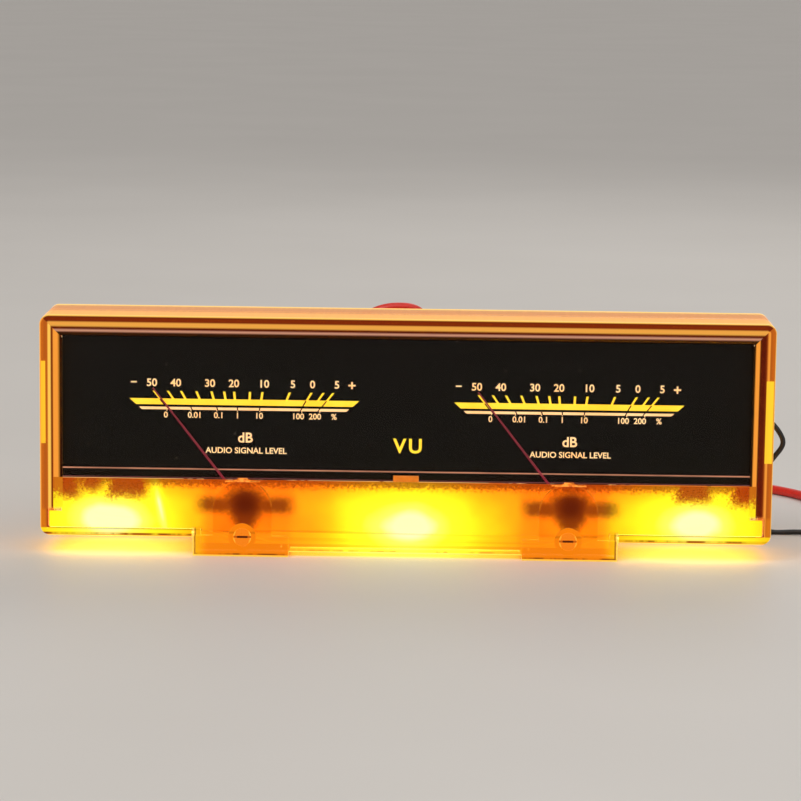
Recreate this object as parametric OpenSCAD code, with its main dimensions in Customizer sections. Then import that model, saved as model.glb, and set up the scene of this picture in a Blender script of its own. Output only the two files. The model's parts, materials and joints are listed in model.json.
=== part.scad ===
// Two-channel analog level meter: one long clear case with two moving-coil movements side by side.
// X runs to the right, Y runs from the front to the back and Z runs up.
// The origin is on the surface that the meter stands on, under the middle of its outer box.
// Depths are measured back from the front face of the window, so a piece in front has a smaller depth.

/* [Case] */
// Width of the case across the front
case_w = 165; // [150:1:200]
// Height of the case without the parts that hang below it
case_h = 50.2; // [47:0.1:70]
// Depth of the clear case from window face to back plate
case_depth = 20; // [19.5:0.5:28]
// Depth of the front cover, the rest is the rear case
cover_depth = 9; // [8.6:0.1:10]
// Wall thickness at the sides, top and bottom
wall = 1.6; // [1.2:0.1:1.8]
// Thickness of the front window
window_t = 2; // [1.5:0.1:2.2]
// Thickness of the back plate
back_t = 1.5; // [1:0.1:2]
// Radius of the outer corners
corner_r = 2.2; // [1:0.1:4]
// How far the two feet hang below the case
foot_drop = 4; // [3.6:0.1:5]
// How far the skirt between the feet stays above the surface
skirt_gap = 0.8; // [0.3:0.1:1.2]
// Width of each foot
foot_w = 21.6; // [21.2:0.1:24]
// How far each foot and its round boss stand out in front of the window
foot_proud = 1.5; // [0.5:0.1:3]

/* [Latches] */
// Height of the latch on each side wall
latch_h = 18.7; // [12:0.1:20]
// Middle of the left latch above the surface
latch_left_z = 34.4; // [30:0.1:38]
// Middle of the right latch above the surface
latch_right_z = 32; // [30:0.1:38]

/* [Dial] */
// Width of the black dial plate
dial_w = 156; // [145:1:156]
// Lower edge of the dial plate above the surface
dial_z = 16.4; // [16.4:0.1:19]
// Depth of the dial plate's front face
dial_depth = 6.2; // [6:0.1:6.4]
// Thickness of the dial plate
dial_t = 0.8; // [0.5:0.1:0.8]
// Thickness of the clear light guide behind the dial
guide_t = 2.6; // [2:0.1:3]
// Thickness of the frosted screen in front of the movements
screen_t = 0.5; // [0.3:0.1:0.6]

/* [Movements] */
// Distance between the two pointer axes
axis_spacing = 73.5; // [70:0.1:80]
// Height of the pointer axes above the surface
axis_z = 10.8; // [10.8:0.1:12]
// Radius of the core magnet
magnet_r = 4.9; // [4:0.1:5]
// Radial air gap between the core magnet and the yoke
air_gap = 1.6; // [1.5:0.05:1.8]
// Radial thickness of the yoke ring
yoke_t = 1.9; // [1.4:0.1:1.9]
// Length of the yoke along the axis
yoke_len = 6.6; // [5:0.1:6.6]
// How far the movement housings stand out behind the back plate
housing_out = 5; // [5:0.1:9]
// How far the solder terminals stand out behind the housings
terminal_out = 4; // [3:0.1:8]

/* [Pointers] */
// Length of each pointer from its axis to its tip
pointer_len = 33.6; // [28:0.1:35]
// Angle of the pointers at rest, to the left of upright
rest_angle = 38; // [30:1:40]
// Angle of the pointers at the upper stop, to the right of upright
full_angle = 42; // [34:1:44]
// Width of a pointer at its hub
pointer_w = 0.6; // [0.5:0.1:1.2]
// Width of a pointer at its tip
pointer_tip_w = 0.3; // [0.2:0.05:0.5]
// Full turns of each hairspring
spring_turns = 3; // [2:1:4]

/* [Zero adjusters] */
// Distance from a pointer axis down to the zero screw
zero_drop = 6.4; // [6.3:0.1:6.6]
// How far the pin of the zero screw is off its centre
zero_offset = 1; // [0.6:0.1:1.1]
// Radius of the zero screw where it passes through the window
zero_r = 2; // [1.6:0.1:2.2]

/* [Lighting] */
// Distance from the middle of the case to the middle of the outer lamp boards
board_x = 64.5; // [60:0.5:65]
// Width of each lamp board
board_w = 18; // [16:0.5:20]
// Height of each lamp board
board_h = 6.4; // [6:0.1:8]
// Distance between the lamps on a board
lamp_pitch = 4.2; // [3.6:0.1:5]
// Diameter of the red supply lead
lead_d = 2.2; // [1.6:0.1:2.4]
// Diameter of the black supply lead
black_lead_d = 1.2; // [0.9:0.1:2.2]

/* [Hidden] */
$fn = 48;

// Clearances
running = 0.05; // radial, a shaft that turns in a hole
loose = 0.1; // radial, a pin or screw through a hole
seat = 0.3; // between pieces that stay apart
cut = 1; // how far a cut runs past a face

// Places shared by several pieces
total_h = foot_drop + case_h;
total_depth = foot_proud + case_depth + housing_out + terminal_out;
front_y = foot_proud - total_depth / 2;
axis_x = axis_spacing / 2;
foot_x = axis_x + 0.4;
skirt_half = foot_x + foot_w / 2;
back_face = case_depth - back_t;
dial_back = dial_depth + dial_t;
dial_top = total_h - wall - 3;
guide_back = dial_back + guide_t;
sheet_t = 0.3;
sheet_back = guide_back + sheet_t;
guide_z = axis_z + magnet_r + air_gap + yoke_t + 1;
rib_t = 1.2;
rib_x = dial_w / 2 + 0.1;
rib_low = axis_z - 1.2;
lip_t = 1.4;
lip_gap = 0.15;
latch_depth = 4.8;
latch_len = 3;

// The movement, with depths from the window face
yoke_r = magnet_r + air_gap + yoke_t;
chassis_front = 7.2;
plate_t = 1.2;
yoke_front = chassis_front + plate_t;
yoke_back = yoke_front + yoke_len;
chassis_back = yoke_back + plate_t;
frame_x = yoke_r + 0.9;
frame_z = yoke_r + 0.2;
bore_r = yoke_r - yoke_t + 0.4;
coil_side = magnet_r + 0.45;
former_t = 0.25;
winding_t = 0.45;
coil_w = 2.4;
coil_front = yoke_front - 0.2;
coil_back = yoke_back + 0.2;
winding_front = coil_front - former_t - winding_t;
winding_back = coil_back + former_t + winding_t;
bridge_front = 3.4;
bridge_t = 0.9;
bridge_x = frame_x - 0.7;
rear_bridge_x = frame_x - 1.7;
rear_bridge_front = chassis_back + 1.2;
rear_bridge_t = 0.8;
jewel_r = 1;
screw_r = 0.6;
staff_r = 0.5;
tip_r = 0.2;
collet_r = 0.7;
spring_in = collet_r + running;
spring_out = 2.6;
spring_t = 0.1;
spring_w = 0.3;
spring_front = 4.5;
rear_spring_front = winding_back + 0.4;
pointer_depth = 5.15;
pointer_t = 0.25;
arm_depth = pointer_depth + pointer_t / 2;
arm_r = 0.25;
arm_len = 5.4;
stop_r = 0.3;
stop_out = arm_len + 0.6;
rest_play = 2; // degrees below rest before the lower stop
zero_plate = 2.95;
zero_t = 0.3;
pin_r = 0.4;
screw_flange = 2.5;
flange_r = zero_r + 0.5;
housing_wall = 1.2;
housing_x = frame_x + seat + housing_wall;
housing_top = axis_z + frame_z + 1 + housing_wall;
housing_back = case_depth + housing_out;
fix_x = frame_x - 1.7;
fix_z = frame_z - 1.6;
fix_r = 0.9;

// Lighting
board_z = foot_drop + wall + 0.1;
board_t = 1;
board_front = back_face - 2.1;
board_back = board_front + board_t;
lamp_s = 2.8;
lamp_h = 0.9;
stud_x = board_w / 2 - 1.8;
post_xs = [-70, 0, 70];
post_zs = [guide_z + 3.9, dial_top - 5];
post_r = 1.8;
pin_post_r = 0.8;

// The two supply leads: where each leaves the back plate, as [x, z], and its radius
red_exit = [-9, 47.5];
black_exit = [75.6, 31];
red_r = lead_d / 2;
black_r = black_lead_d / 2;
tip_len = 6;

// Points along the leads, as [x, distance behind the back plate, z], chosen by hand
red_points = [
    [-9, -2.1, 47.5], [-9, 2.4, 47.5], [-10.2, 4.8, 49.2], [-8.6, 5.6, 52.2], [-3.2, 5.8, 53.7],
    [2.4, 6.4, 52.6], [6, 9.4, 46], [9.4, 16, 34], [14.4, 26, 19], [21, 38, 7.4], [30, 49, 1.8],
    [41, 58, 1.1],
    [53, 65, 1.1], [65, 69.6, 1.1], [77, 71.4, 1.1], [88, 69.6, 1.1], [96.4, 61.6, 1.1],
    [101.6, 51.6, 1.1], [104.4, 40.6, 1.1], [105.6, 30, 1.1]
];
black_points = [
    [75.6, -2.1, 31], [75.6, 2, 31], [78.2, 5, 31], [84, 5.9, 28.4], [87.4, 5.7, 23.6],
    [85.2, 6, 19.4], [81.6, 7.4, 14.6], [80.6, 9, 8.6], [82.2, 11.6, 3.2], [86, 13.6, 0.6],
    [92, 13.6, 0.6], [98, 13, 0.6], [105, 12.6, 0.6], [111.4, 15, 0.6], [115.4, 20.6, 0.6],
    [117, 28, 0.6], [117.4, 36, 0.6], [117, 44, 0.6], [115.4, 52, 0.6], [112.6, 59.6, 0.6],
    [108.6, 66.4, 0.6]
];
rings_between = 2;

// Points along the wires between the boards, as [x, depth, z]
wire_r = 0.45;
wire_depth = board_front - 0.5;
over_z = axis_z + frame_z + 3.2;

// ---------------------------------------------------------------- helpers

// Extrudes a flat shape, drawn in x and z, from one depth to another
module slab(from, to) {
    translate([0, front_y + from, 0])
        rotate([90, 0, 0])
            mirror([0, 0, 1])
                linear_extrude(to - from)
                    children();
}

// A round rod along the depth
module rod(r, from, to) {
    translate([0, front_y + from, 0])
        rotate([-90, 0, 0])
            cylinder(r = r, h = to - from);
}

// A flat box, from low x and z to high x and z
module panel(x0, z0, x1, z1) {
    translate([x0, z0])
        square([x1 - x0, z1 - z0]);
}

// A panel with true round corners
module round_panel(x0, z0, x1, z1, r) {
    panel(x0 + r, z0, x1 - r, z1);
    panel(x0, z0 + r, x1, z1 - r);
    for (x = [x0 + r, x1 - r])
        for (z = [z0 + r, z1 - r])
            translate([x, z])
                circle(r);
}

// A bar with round ends
module round_bar(half, r) {
    panel(-half, -r, half, r);
    for (s = [-1, 1])
        translate([s * half, 0])
            circle(r);
}

// The main rectangle of the case, drawn smaller by inset
module main_outline(inset) {
    round_panel(
        -case_w / 2 + inset,
        foot_drop + inset,
        case_w / 2 - inset,
        total_h - inset,
        max(corner_r - inset, 0.4)
    );
}

// The case seen from the front: main rectangle, skirt and two feet
module case_outline(inset) {
    main_outline(inset);
    panel(-skirt_half + inset, skirt_gap + inset, skirt_half - inset, foot_drop + inset + cut);
    for (s = [-1, 1])
        foot_outline(s, inset, foot_drop);
}

module foot_outline(s, inset, top) {
    panel(s * foot_x - foot_w / 2 + inset, inset, s * foot_x + foot_w / 2 - inset, top);
}

// Places a sub-part of a movement, which is drawn about the pointer axis
module at_movement(s) {
    translate([s * axis_x, 0, axis_z])
        children();
}

// Turns a sub-part of a pointer to its place at rest
module at_rest() {
    rotate([0, -rest_angle, 0])
        children();
}

// A flat spiral strip with its inner end to the right and its outer end at the top
function spiral_at(k, n, grow) =
    let (turn = (spring_turns + 0.25) * 360 * k / n)
    let (r = spring_in + (spring_out - spring_in - spring_t) * k / n + grow)
    [r * cos(turn), r * sin(turn)];

module spiral() {
    n = ceil(spring_turns * 20);
    polygon(concat(
        [for (k = [0:n]) spiral_at(k, n, 0)],
        [for (k = [n:-1:0]) spiral_at(k, n, spring_t)]
    ));
}

// A smooth curve through points: each stretch follows the cubic set by its four nearest points
function pick(points, i) = points[max(0, min(len(points) - 1, i))];
function between(a, b, c, d, t) =
    0.5 * (2 * b + (c - a) * t + (2 * a - 5 * b + 4 * c - d) * t * t
        + (3 * b - a - 3 * c + d) * t * t * t);
function smooth_path(points, n) = concat(
    [
        for (i = [0:len(points) - 2])
            for (k = [0:n - 1])
                between(
                    pick(points, i - 1), pick(points, i), pick(points, i + 1),
                    pick(points, i + 2), k / n
                )
    ],
    [points[len(points) - 1]]
);

function unit(v) = v / norm(v);
function heading(path, i) = unit(pick(path, i + 1) - pick(path, i - 1));
function square_to(v, t) = unit(v - (v * t) * t);

// A tube with even sides swept along a path, whose side direction is carried from ring to ring
module tube(path, r, sides) {
    n = len(path);
    across = [
        for (i = 0, v = square_to([1, 0.2, 0.3], heading(path, 0)); i < n;
            i = i + 1, v = square_to(v, heading(path, min(i, n - 1))))
            v
    ];
    rings = [
        for (i = [0:n - 1])
            let (up = cross(heading(path, i), across[i]))
            for (k = [0:sides - 1])
                path[i] + r * (cos(360 * k / sides) * across[i] + sin(360 * k / sides) * up)
    ];
    polyhedron(
        rings,
        concat(
            [[for (k = [0:sides - 1]) k]],
            [
                for (i = [0:n - 2])
                    for (k = [0:sides - 1])
                        [
                            i * sides + k,
                            (i + 1) * sides + k,
                            (i + 1) * sides + (k + 1) % sides,
                            i * sides + (k + 1) % sides
                        ]
            ],
            [[for (k = [sides - 1:-1:0]) (n - 1) * sides + k]]
        )
    );
}

function to_frame(points) = [for (p = points) p + [0, front_y, 0]];

// The same points with their depths measured from the window face
function from_back(points) = [for (p = points) p + [0, case_depth, 0]];

// ---------------------------------------------------------------- case

// The middle of the latch on one side
function latch_z(s) = s < 0 ? latch_left_z : latch_right_z;

module front_cover() {
    color([1, 0.78, 0.42, 0.35])
        difference() {
            union() {
                difference() {
                    slab(0, cover_depth)
                        case_outline(0);
                    slab(window_t, cover_depth + cut)
                        case_outline(wall);
                }
                dial_ribs();
                for (s = [-1, 1])
                    foot_boss(s);
            }
            for (s = [-1, 1]) {
                translate([s * axis_x, 0, axis_z - zero_drop])
                    rod(zero_r + running, -foot_proud - cut, window_t + cut);
                latch_window(s);
            }
        }
}

// The rib behind the window that frames the dial at the top and both sides
module dial_ribs() {
    rib_end = dial_depth - loose;
    slab(window_t - loose, rib_end)
        difference() {
            panel(-rib_x - rib_t, rib_low, rib_x + rib_t, dial_top + loose + rib_t);
            panel(-rib_x, rib_low - cut, rib_x, dial_top + loose);
        }
}

// The raised pad over a movement: a foot with a round-topped boss above it
module foot_boss(s) {
    boss_r = 6.6;
    stop_w = 2.2;
    stop_pitch = 2.9;
    slab(-foot_proud, loose) {
        foot_outline(s, 0, foot_drop + 0.6);
        translate([s * axis_x, axis_z])
            circle(boss_r);
        panel(s * axis_x - boss_r, foot_drop, s * axis_x + boss_r, axis_z);
        for (k = [-1:1])
            translate([s * axis_x + k * stop_pitch, axis_z + boss_r - 0.6 - abs(k) * 0.6])
                panel(-stop_w / 2, -0.4, stop_w / 2, 0.9);
    }
}

module latch_window(s) {
    x0 = case_w / 2 - wall - cut;
    x1 = case_w / 2 + cut;
    slab(latch_depth, latch_depth + latch_len)
        translate([s * (x0 + x1) / 2, latch_z(s)])
            square([x1 - x0, latch_h], center = true);
}

module frosted_screen() {
    screen_x = rib_x - seat;
    full_x = case_w / 2 - wall - seat;
    color([1, 0.72, 0.2])
        slab(window_t, window_t + screen_t)
            difference() {
                union() {
                    panel(-screen_x, foot_drop + wall + 0.1, screen_x, dial_z + 0.6);
                    panel(-full_x, foot_drop + wall + 0.1, full_x, rib_low - seat);
                    panel(
                        -skirt_half + wall + seat, skirt_gap + wall + 0.1,
                        skirt_half - wall - seat, foot_drop + wall + cut
                    );
                }
                for (s = [-1, 1])
                    translate([s * axis_x, axis_z - zero_drop])
                        circle(flange_r + seat);
            }
}

module rear_case() {
    color([1, 0.72, 0.36, 0.45])
        difference() {
            union() {
                difference() {
                    slab(cover_depth, case_depth)
                        case_outline(0);
                    slab(cover_depth - cut, back_face)
                        case_outline(wall);
                }
                rear_lip();
                for (s = [-1, 1]) {
                    latch_tongue(s);
                    housing_shell(s);
                }
                sheet_posts();
                board_posts();
            }
            for (s = [-1, 1])
                housing_cuts(s);
            for (lead = [[red_exit, red_r], [black_exit, black_r]])
                translate([lead[0][0], 0, lead[0][1]])
                    rod(lead[1] + 0.9, back_face - cut, case_depth + cut);
        }
}

// The lip that slides into the front cover, left out over the skirt
module rear_lip() {
    slab(cover_depth - 1.5, cover_depth)
        lip_ring(wall + lip_gap);
    slab(cover_depth, cover_depth + 1.2)
        lip_ring(wall - loose);
}

module lip_ring(inset) {
    difference() {
        main_outline(inset);
        main_outline(wall + lip_t);
        panel(-skirt_half - cut, 0, skirt_half + cut, foot_drop + wall + 2 * lip_t);
    }
}

// A tongue inside the side wall with a catch that fills the latch window
module latch_tongue(s) {
    x0 = case_w / 2 - wall - lip_t;
    x1 = case_w / 2 - wall - lip_gap;
    x2 = case_w / 2 - 0.2;
    half = latch_h / 2 - seat / 2;
    translate([0, 0, latch_z(s)]) {
        slab(latch_depth - 1.2, cover_depth + loose)
            panel(min(s * x0, s * x1), -half, max(s * x0, s * x1), half);
        slab(latch_depth + loose, latch_depth + latch_len - loose)
            panel(min(s * x1, s * x2) - (s < 0 ? 0 : loose), -half,
                max(s * x1, s * x2) + (s < 0 ? loose : 0), half);
    }
}

// The box behind the back plate that covers a movement
module housing_shell(s) {
    slab(back_face, housing_back)
        round_panel(
            s * axis_x - housing_x, 0, s * axis_x + housing_x, housing_top, housing_wall
        );
    at_movement(s)
        for (k = [-1, 1])
            translate([k * fix_x, 0, k * fix_z])
                rod(fix_r + 0.6, chassis_back, housing_back - loose);
}

module housing_cuts(s) {
    cavity_x = housing_x - housing_wall;
    cavity_z = axis_z - frame_z - 0.4;
    difference() {
        slab(back_face - cut, housing_back - housing_wall)
            panel(
                s * axis_x - cavity_x, cavity_z,
                s * axis_x + cavity_x, housing_top - housing_wall
            );
        at_movement(s)
            for (k = [-1, 1])
                translate([k * fix_x, 0, k * fix_z])
                    rod(fix_r + 0.6, chassis_back, housing_back + cut);
    }
    at_movement(s)
        for (k = [-1, 1]) {
            translate([k * fix_x, 0, k * fix_z])
                rod(fix_r + running, chassis_back - cut, housing_back + cut);
            translate([k * terminal_x, 0, terminal_z])
                slab(housing_back - housing_wall - cut, housing_back + cut)
                    square([terminal_w + 2 * running, terminal_t + 2 * running], center = true);
        }
}

// Stepped posts that carry the reflector, the light guide and the dial plate
module sheet_posts() {
    for (x = post_xs)
        for (z = post_zs)
            translate([x, 0, z]) {
                rod(post_r, sheet_back, case_depth - loose);
                rod(pin_post_r, dial_back, sheet_back + loose);
            }
}

module board_posts() {
    for (b = [-1:1])
        for (k = [-1, 1])
            translate([b * board_x + k * stud_x, 0, board_z + board_h / 2])
                difference() {
                    rod(1.5, board_back, case_depth - loose);
                    rod(screw_r + running, board_back - cut, back_face + 0.4);
                }
}

module dial_plate() {
    color([0.03, 0.03, 0.03])
        slab(dial_depth, dial_back)
            panel(-dial_w / 2, dial_z, dial_w / 2, dial_top);
}

module sheet_outline() {
    difference() {
        panel(-dial_w / 2 + 0.4, guide_z, dial_w / 2 - 0.4, dial_top - 0.4);
        for (x = post_xs)
            for (z = post_zs)
                translate([x, z])
                    circle(pin_post_r + loose);
    }
}

module light_guide() {
    color([1, 0.85, 0.5, 0.5])
        slab(dial_back, guide_back)
            sheet_outline();
}

module reflector_sheet() {
    color("white")
        slab(guide_back, sheet_back)
            sheet_outline();
}

// The clip that hooks over the lower edge of the dial and reaches back to the back plate
module centre_clip() {
    jaw_t = 0.8;
    jaw_h = 1.4;
    clip_x = 2.9;
    color([1, 0.6, 0.15])
        union() {
            slab(dial_depth - jaw_t, dial_depth)
                panel(-clip_x, dial_z - jaw_t, clip_x, dial_z + jaw_h);
            slab(dial_depth - jaw_t, dial_back + jaw_t)
                panel(-clip_x, dial_z - jaw_t, clip_x, dial_z);
            slab(dial_back, dial_back + jaw_t)
                panel(-clip_x, dial_z - jaw_t, clip_x, dial_z + jaw_h);
            slab(dial_back + jaw_t / 2, back_face)
                panel(-clip_x / 2, dial_z - 2 * jaw_t, clip_x / 2, dial_z);
        }
}

// ---------------------------------------------------------------- lighting

module lamp_board(b) {
    color([0.9, 0.9, 0.86])
        slab(board_front, board_back)
            difference() {
                translate([b * board_x, board_z])
                    round_panel(-board_w / 2, 0, board_w / 2, board_h, 0.5);
                for (k = [-1, 1])
                    translate([b * board_x + k * stud_x, board_z + board_h / 2])
                        circle(screw_r + loose);
            }
}

// Three lamps: a square body with a shallow dome of resin
module lamps(b) {
    color([1, 0.95, 0.6])
        for (k = [-1:1])
            translate([b * board_x + k * lamp_pitch, 0, board_z + board_h / 2 + 0.6]) {
                slab(board_front - lamp_h, board_front)
                    square(lamp_s, center = true);
                intersection() {
                    translate([0, front_y + board_front - lamp_h + 1.2, 0])
                        sphere(r = 1.6);
                    slab(board_front - lamp_h - 0.6, board_front - lamp_h + loose)
                        square(lamp_s, center = true);
                }
            }
}

module board_resistors() {
    color([0.1, 0.1, 0.11])
        for (b = [-1:1])
            translate([b * board_x, 0, board_z + 1.1])
                slab(board_front - 0.5, board_front)
                    square([2, 1.25], center = true);
}

// A pan-head screw along the depth with a cross slot, its head towards the front
module small_screw(r, head_r, head_h, from, to) {
    difference() {
        rod(head_r, from, from + head_h);
        slab(from - cut, from + head_h / 2)
            square([head_r * 1.4, 0.35], center = true);
        slab(from - cut, from + head_h / 2)
            square([0.35, head_r * 1.4], center = true);
    }
    rod(r, from + head_h / 2, to);
}

module board_screws() {
    color([0.75, 0.75, 0.78])
        for (b = [-1:1])
            for (k = [-1, 1])
                translate([b * board_x + k * stud_x, 0, board_z + board_h / 2])
                    small_screw(screw_r, 1.2, 0.6, board_front - 0.6, back_face);
}

// The screws that hold the movements, with their heads behind the housings
module movement_screws() {
    head_h = 1.1;
    color([0.75, 0.75, 0.78])
        for (s = [-1, 1])
            at_movement(s)
                for (k = [-1, 1])
                    translate([k * fix_x, 0, k * fix_z])
                        difference() {
                            union() {
                                rod(1.7, housing_back, housing_back + head_h);
                                rod(fix_r, yoke_back + loose, housing_back + loose);
                            }
                            slab(housing_back + head_h / 2, housing_back + head_h + cut)
                                square([2.4, 0.45], center = true);
                            slab(housing_back + head_h / 2, housing_back + head_h + cut)
                                square([0.45, 2.4], center = true);
                        }
}

// Wires from board to board over the movements, and from both leads down to the boards
module link_wires() {
    color([0.55, 0.08, 0.05]) {
        for (s = [-1, 1])
            for (row = [0, 1])
                wire(link_points(s, row));
        wire(supply_points(from_back(red_points)[0], -5.4));
        wire(supply_points(from_back(black_points)[0], board_x + 4));
    }
}

module wire(points) {
    tube(smooth_path(to_frame(points), 3), wire_r, 6);
}

// The second wire of a pair runs inside the first
function link_points(s, row) =
    let (end_x = board_w / 2 - 0.6)
    let (end_z = board_z + board_h - 0.6 - 1.4 * row)
    let (side = frame_x + 3.6 - 1.3 * row)
    let (top = over_z - 1.3 * row)
    [
        [s * (board_x - end_x), wire_depth, end_z],
        [s * (axis_x + side + 3), wire_depth, end_z + 0.6],
        [s * (axis_x + side), wire_depth, top - 6],
        [s * (axis_x + side - 4), wire_depth, top],
        [s * (axis_x - side + 4), wire_depth, top],
        [s * (axis_x - side), wire_depth, top - 6],
        [s * (axis_x - side - 3), wire_depth, end_z + 0.6],
        [s * end_x, wire_depth, end_z]
    ];

// From the inner end of a lead down to the top of a board
function supply_points(start, end_x) =
    let (end_z = board_z + board_h - 0.6)
    [
        start,
        [start[0], start[1] - 1.1, start[2] - 0.4],
        [start[0] - 0.2, wire_depth, start[2] - 3.6],
        [(start[0] + end_x) / 2, wire_depth, (start[2] + end_z) / 2],
        [end_x, wire_depth, end_z]
    ];

// Rubber rings with a groove, in the back plate round the two leads
module lead_grommets() {
    color([0.06, 0.06, 0.06])
        for (lead = [[red_exit, red_r], [black_exit, black_r]])
            translate([lead[0][0], 0, lead[0][1]])
                grommet(lead[1]);
}

module grommet(r) {
    difference() {
        union() {
            rod(r + 1.7, back_face - 0.8, back_face);
            rod(r + 0.9 - running, back_face - loose, case_depth + loose);
            rod(r + 1.7, case_depth, case_depth + 0.8);
        }
        rod(r + running, back_face - cut - 1, case_depth + cut + 1);
    }
}

module lead(points, r) {
    tube(smooth_path(to_frame(from_back(points)), rings_between), r, 8);
}

// The bare tinned end of a lead, which goes on in the direction that the lead ends in
module lead_tip(points, r) {
    path = smooth_path(to_frame(from_back(points)), rings_between);
    n = len(path);
    way = unit(path[n - 1] - path[n - 2]);
    tube([for (k = [0:2]) path[n - 1] + way * tip_len * k / 2], r / 2, 8);
}

module red_lead() {
    color([0.8, 0.1, 0.05])
        lead(red_points, red_r);
}

module black_lead() {
    color([0.08, 0.06, 0.05])
        lead(black_points, black_r);
}

module red_lead_tip() {
    color([0.8, 0.8, 0.82])
        lead_tip(red_points, red_r);
}

module black_lead_tip() {
    color([0.8, 0.8, 0.82])
        lead_tip(black_points, black_r);
}

// ---------------------------------------------------------------- movement

terminal_x = 5;
terminal_z = 5;
terminal_w = 2.4;
terminal_t = 0.5;

// Where a stop pin stands so that the needle meets it at this angle, to either side of upright
function stop_angle(limit) = limit + asin((pointer_w / 2 + stop_r + running) / stop_out);

// The moulded frame: two plates joined by side rails, posts for the bridges, two stop pins for
// the needle and two webs that hold the core magnet above and below, outside the sweep of the coil
module chassis() {
    web_x = 1.8;
    rail_t = 0.8;
    color([0.16, 0.09, 0.06])
        difference() {
            union() {
                for (from = [chassis_front, yoke_back])
                    slab(from, from + plate_t)
                        difference() {
                            round_panel(-frame_x, -frame_z, frame_x, frame_z, 1.5);
                            circle(bore_r);
                        }
                for (a = [-stop_angle(rest_angle + rest_play), stop_angle(full_angle)])
                    rotate([0, a, 0])
                        stop_pin();
                for (s = [-1, 1]) {
                    slab(chassis_front, chassis_back)
                        panel(
                            min(s * frame_x, s * (frame_x - rail_t)), -4,
                            max(s * frame_x, s * (frame_x - rail_t)), 4
                        );
                    translate([s * bridge_x, 0, 0])
                        rod(1.2, bridge_front + bridge_t, chassis_front + loose);
                    translate([s * rear_bridge_x, 0, 0])
                        rod(1, chassis_back - loose, rear_bridge_front);
                    slab(chassis_front, chassis_back)
                        difference() {
                            panel(
                                -web_x, min(s * bore_r, s * magnet_r) - (s < 0 ? loose : 0),
                                web_x, max(s * bore_r, s * magnet_r) + (s > 0 ? loose : 0)
                            );
                            circle(magnet_r + running);
                        }
                }
            }
            slab(yoke_front, yoke_back)
                difference() {
                    circle(yoke_r + running);
                    circle(yoke_r - yoke_t - running);
                }
            for (s = [-1, 1]) {
                translate([s * bridge_x, 0, 0])
                    rod(screw_r + running, bridge_front, chassis_front + plate_t + cut);
                translate([s * rear_bridge_x, 0, 0])
                    rod(screw_r + running, yoke_back - cut, rear_bridge_front + cut);
                translate([s * fix_x, 0, s * fix_z])
                    rod(fix_r + running, yoke_back - cut, chassis_back + cut);
            }
        }
}

// A pin in the way of the needle, on a short bar that reaches in over the bore
module stop_pin() {
    translate([0, 0, stop_out])
        rod(stop_r, pointer_depth - 0.4, chassis_front + loose);
    slab(chassis_front - 0.4, chassis_front + loose)
        panel(-0.4, stop_out, 0.4, bore_r + 0.5);
}

module yoke() {
    color([0.55, 0.55, 0.58])
        slab(yoke_front, yoke_back)
            difference() {
                circle(yoke_r);
                circle(yoke_r - yoke_t);
            }
}

module core_magnet() {
    color([0.3, 0.3, 0.33])
        rod(magnet_r, yoke_front + 0.2, yoke_back - 0.2);
}

module front_bridge() {
    color([0.72, 0.7, 0.66])
        slab(bridge_front, bridge_front + bridge_t)
            difference() {
                union() {
                    round_bar(bridge_x, 1.5);
                    circle(2.2);
                }
                circle(jewel_r + running);
                for (s = [-1, 1])
                    translate([s * bridge_x, 0])
                        circle(screw_r + running);
            }
}

module rear_bridge() {
    color([0.72, 0.7, 0.66])
        slab(rear_bridge_front, rear_bridge_front + rear_bridge_t)
            difference() {
                union() {
                    round_bar(rear_bridge_x, 1.4);
                    circle(2.2);
                    panel(-0.5, 0, 0.5, spring_out + 0.6);
                }
                circle(jewel_r + running);
                for (s = [-1, 1])
                    translate([s * rear_bridge_x, 0])
                        circle(screw_r + running);
            }
}

// The jewel screws: each has a slotted head and a cup that one end of the moving system turns in
module jewel_screws() {
    head_front = 2.7;
    cup = tip_r + running;
    front_end = bridge_front + bridge_t + 0.05;
    rear_start = rear_bridge_front - 0.05;
    rear_head = rear_bridge_front + rear_bridge_t;
    color([0.83, 0.68, 0.3])
        union() {
            difference() {
                union() {
                    rod(jewel_r, head_front, front_end);
                    rod(1.4, head_front, zero_plate - running);
                }
                slab(head_front - cut, head_front + 0.15)
                    square([2.6, 0.4], center = true);
                rod(cup, front_end - 0.35, front_end + cut);
            }
            difference() {
                union() {
                    rod(jewel_r, rear_start, rear_head + 0.9);
                    rod(1.5, rear_head + loose, rear_head + 0.6);
                }
                slab(rear_head + 0.5, rear_head + 0.9 + cut)
                    square([2.6, 0.4], center = true);
                rod(cup, rear_start - cut, rear_start + 0.35);
            }
        }
}

module bridge_screws() {
    color([0.75, 0.75, 0.78])
        for (s = [-1, 1]) {
            translate([s * bridge_x, 0, 0])
                small_screw(screw_r, 1.2, 0.6, bridge_front - 0.6, chassis_front);
            translate([s * rear_bridge_x, 0, 0])
                difference() {
                    union() {
                        rod(1.2, rear_bridge_front + rear_bridge_t,
                            rear_bridge_front + rear_bridge_t + 0.6);
                        rod(screw_r, yoke_back + loose, rear_bridge_front + rear_bridge_t + loose);
                    }
                    slab(rear_bridge_front + rear_bridge_t + 0.3,
                        rear_bridge_front + rear_bridge_t + cut)
                        square([1.7, 0.35], center = true);
                }
        }
}

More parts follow.
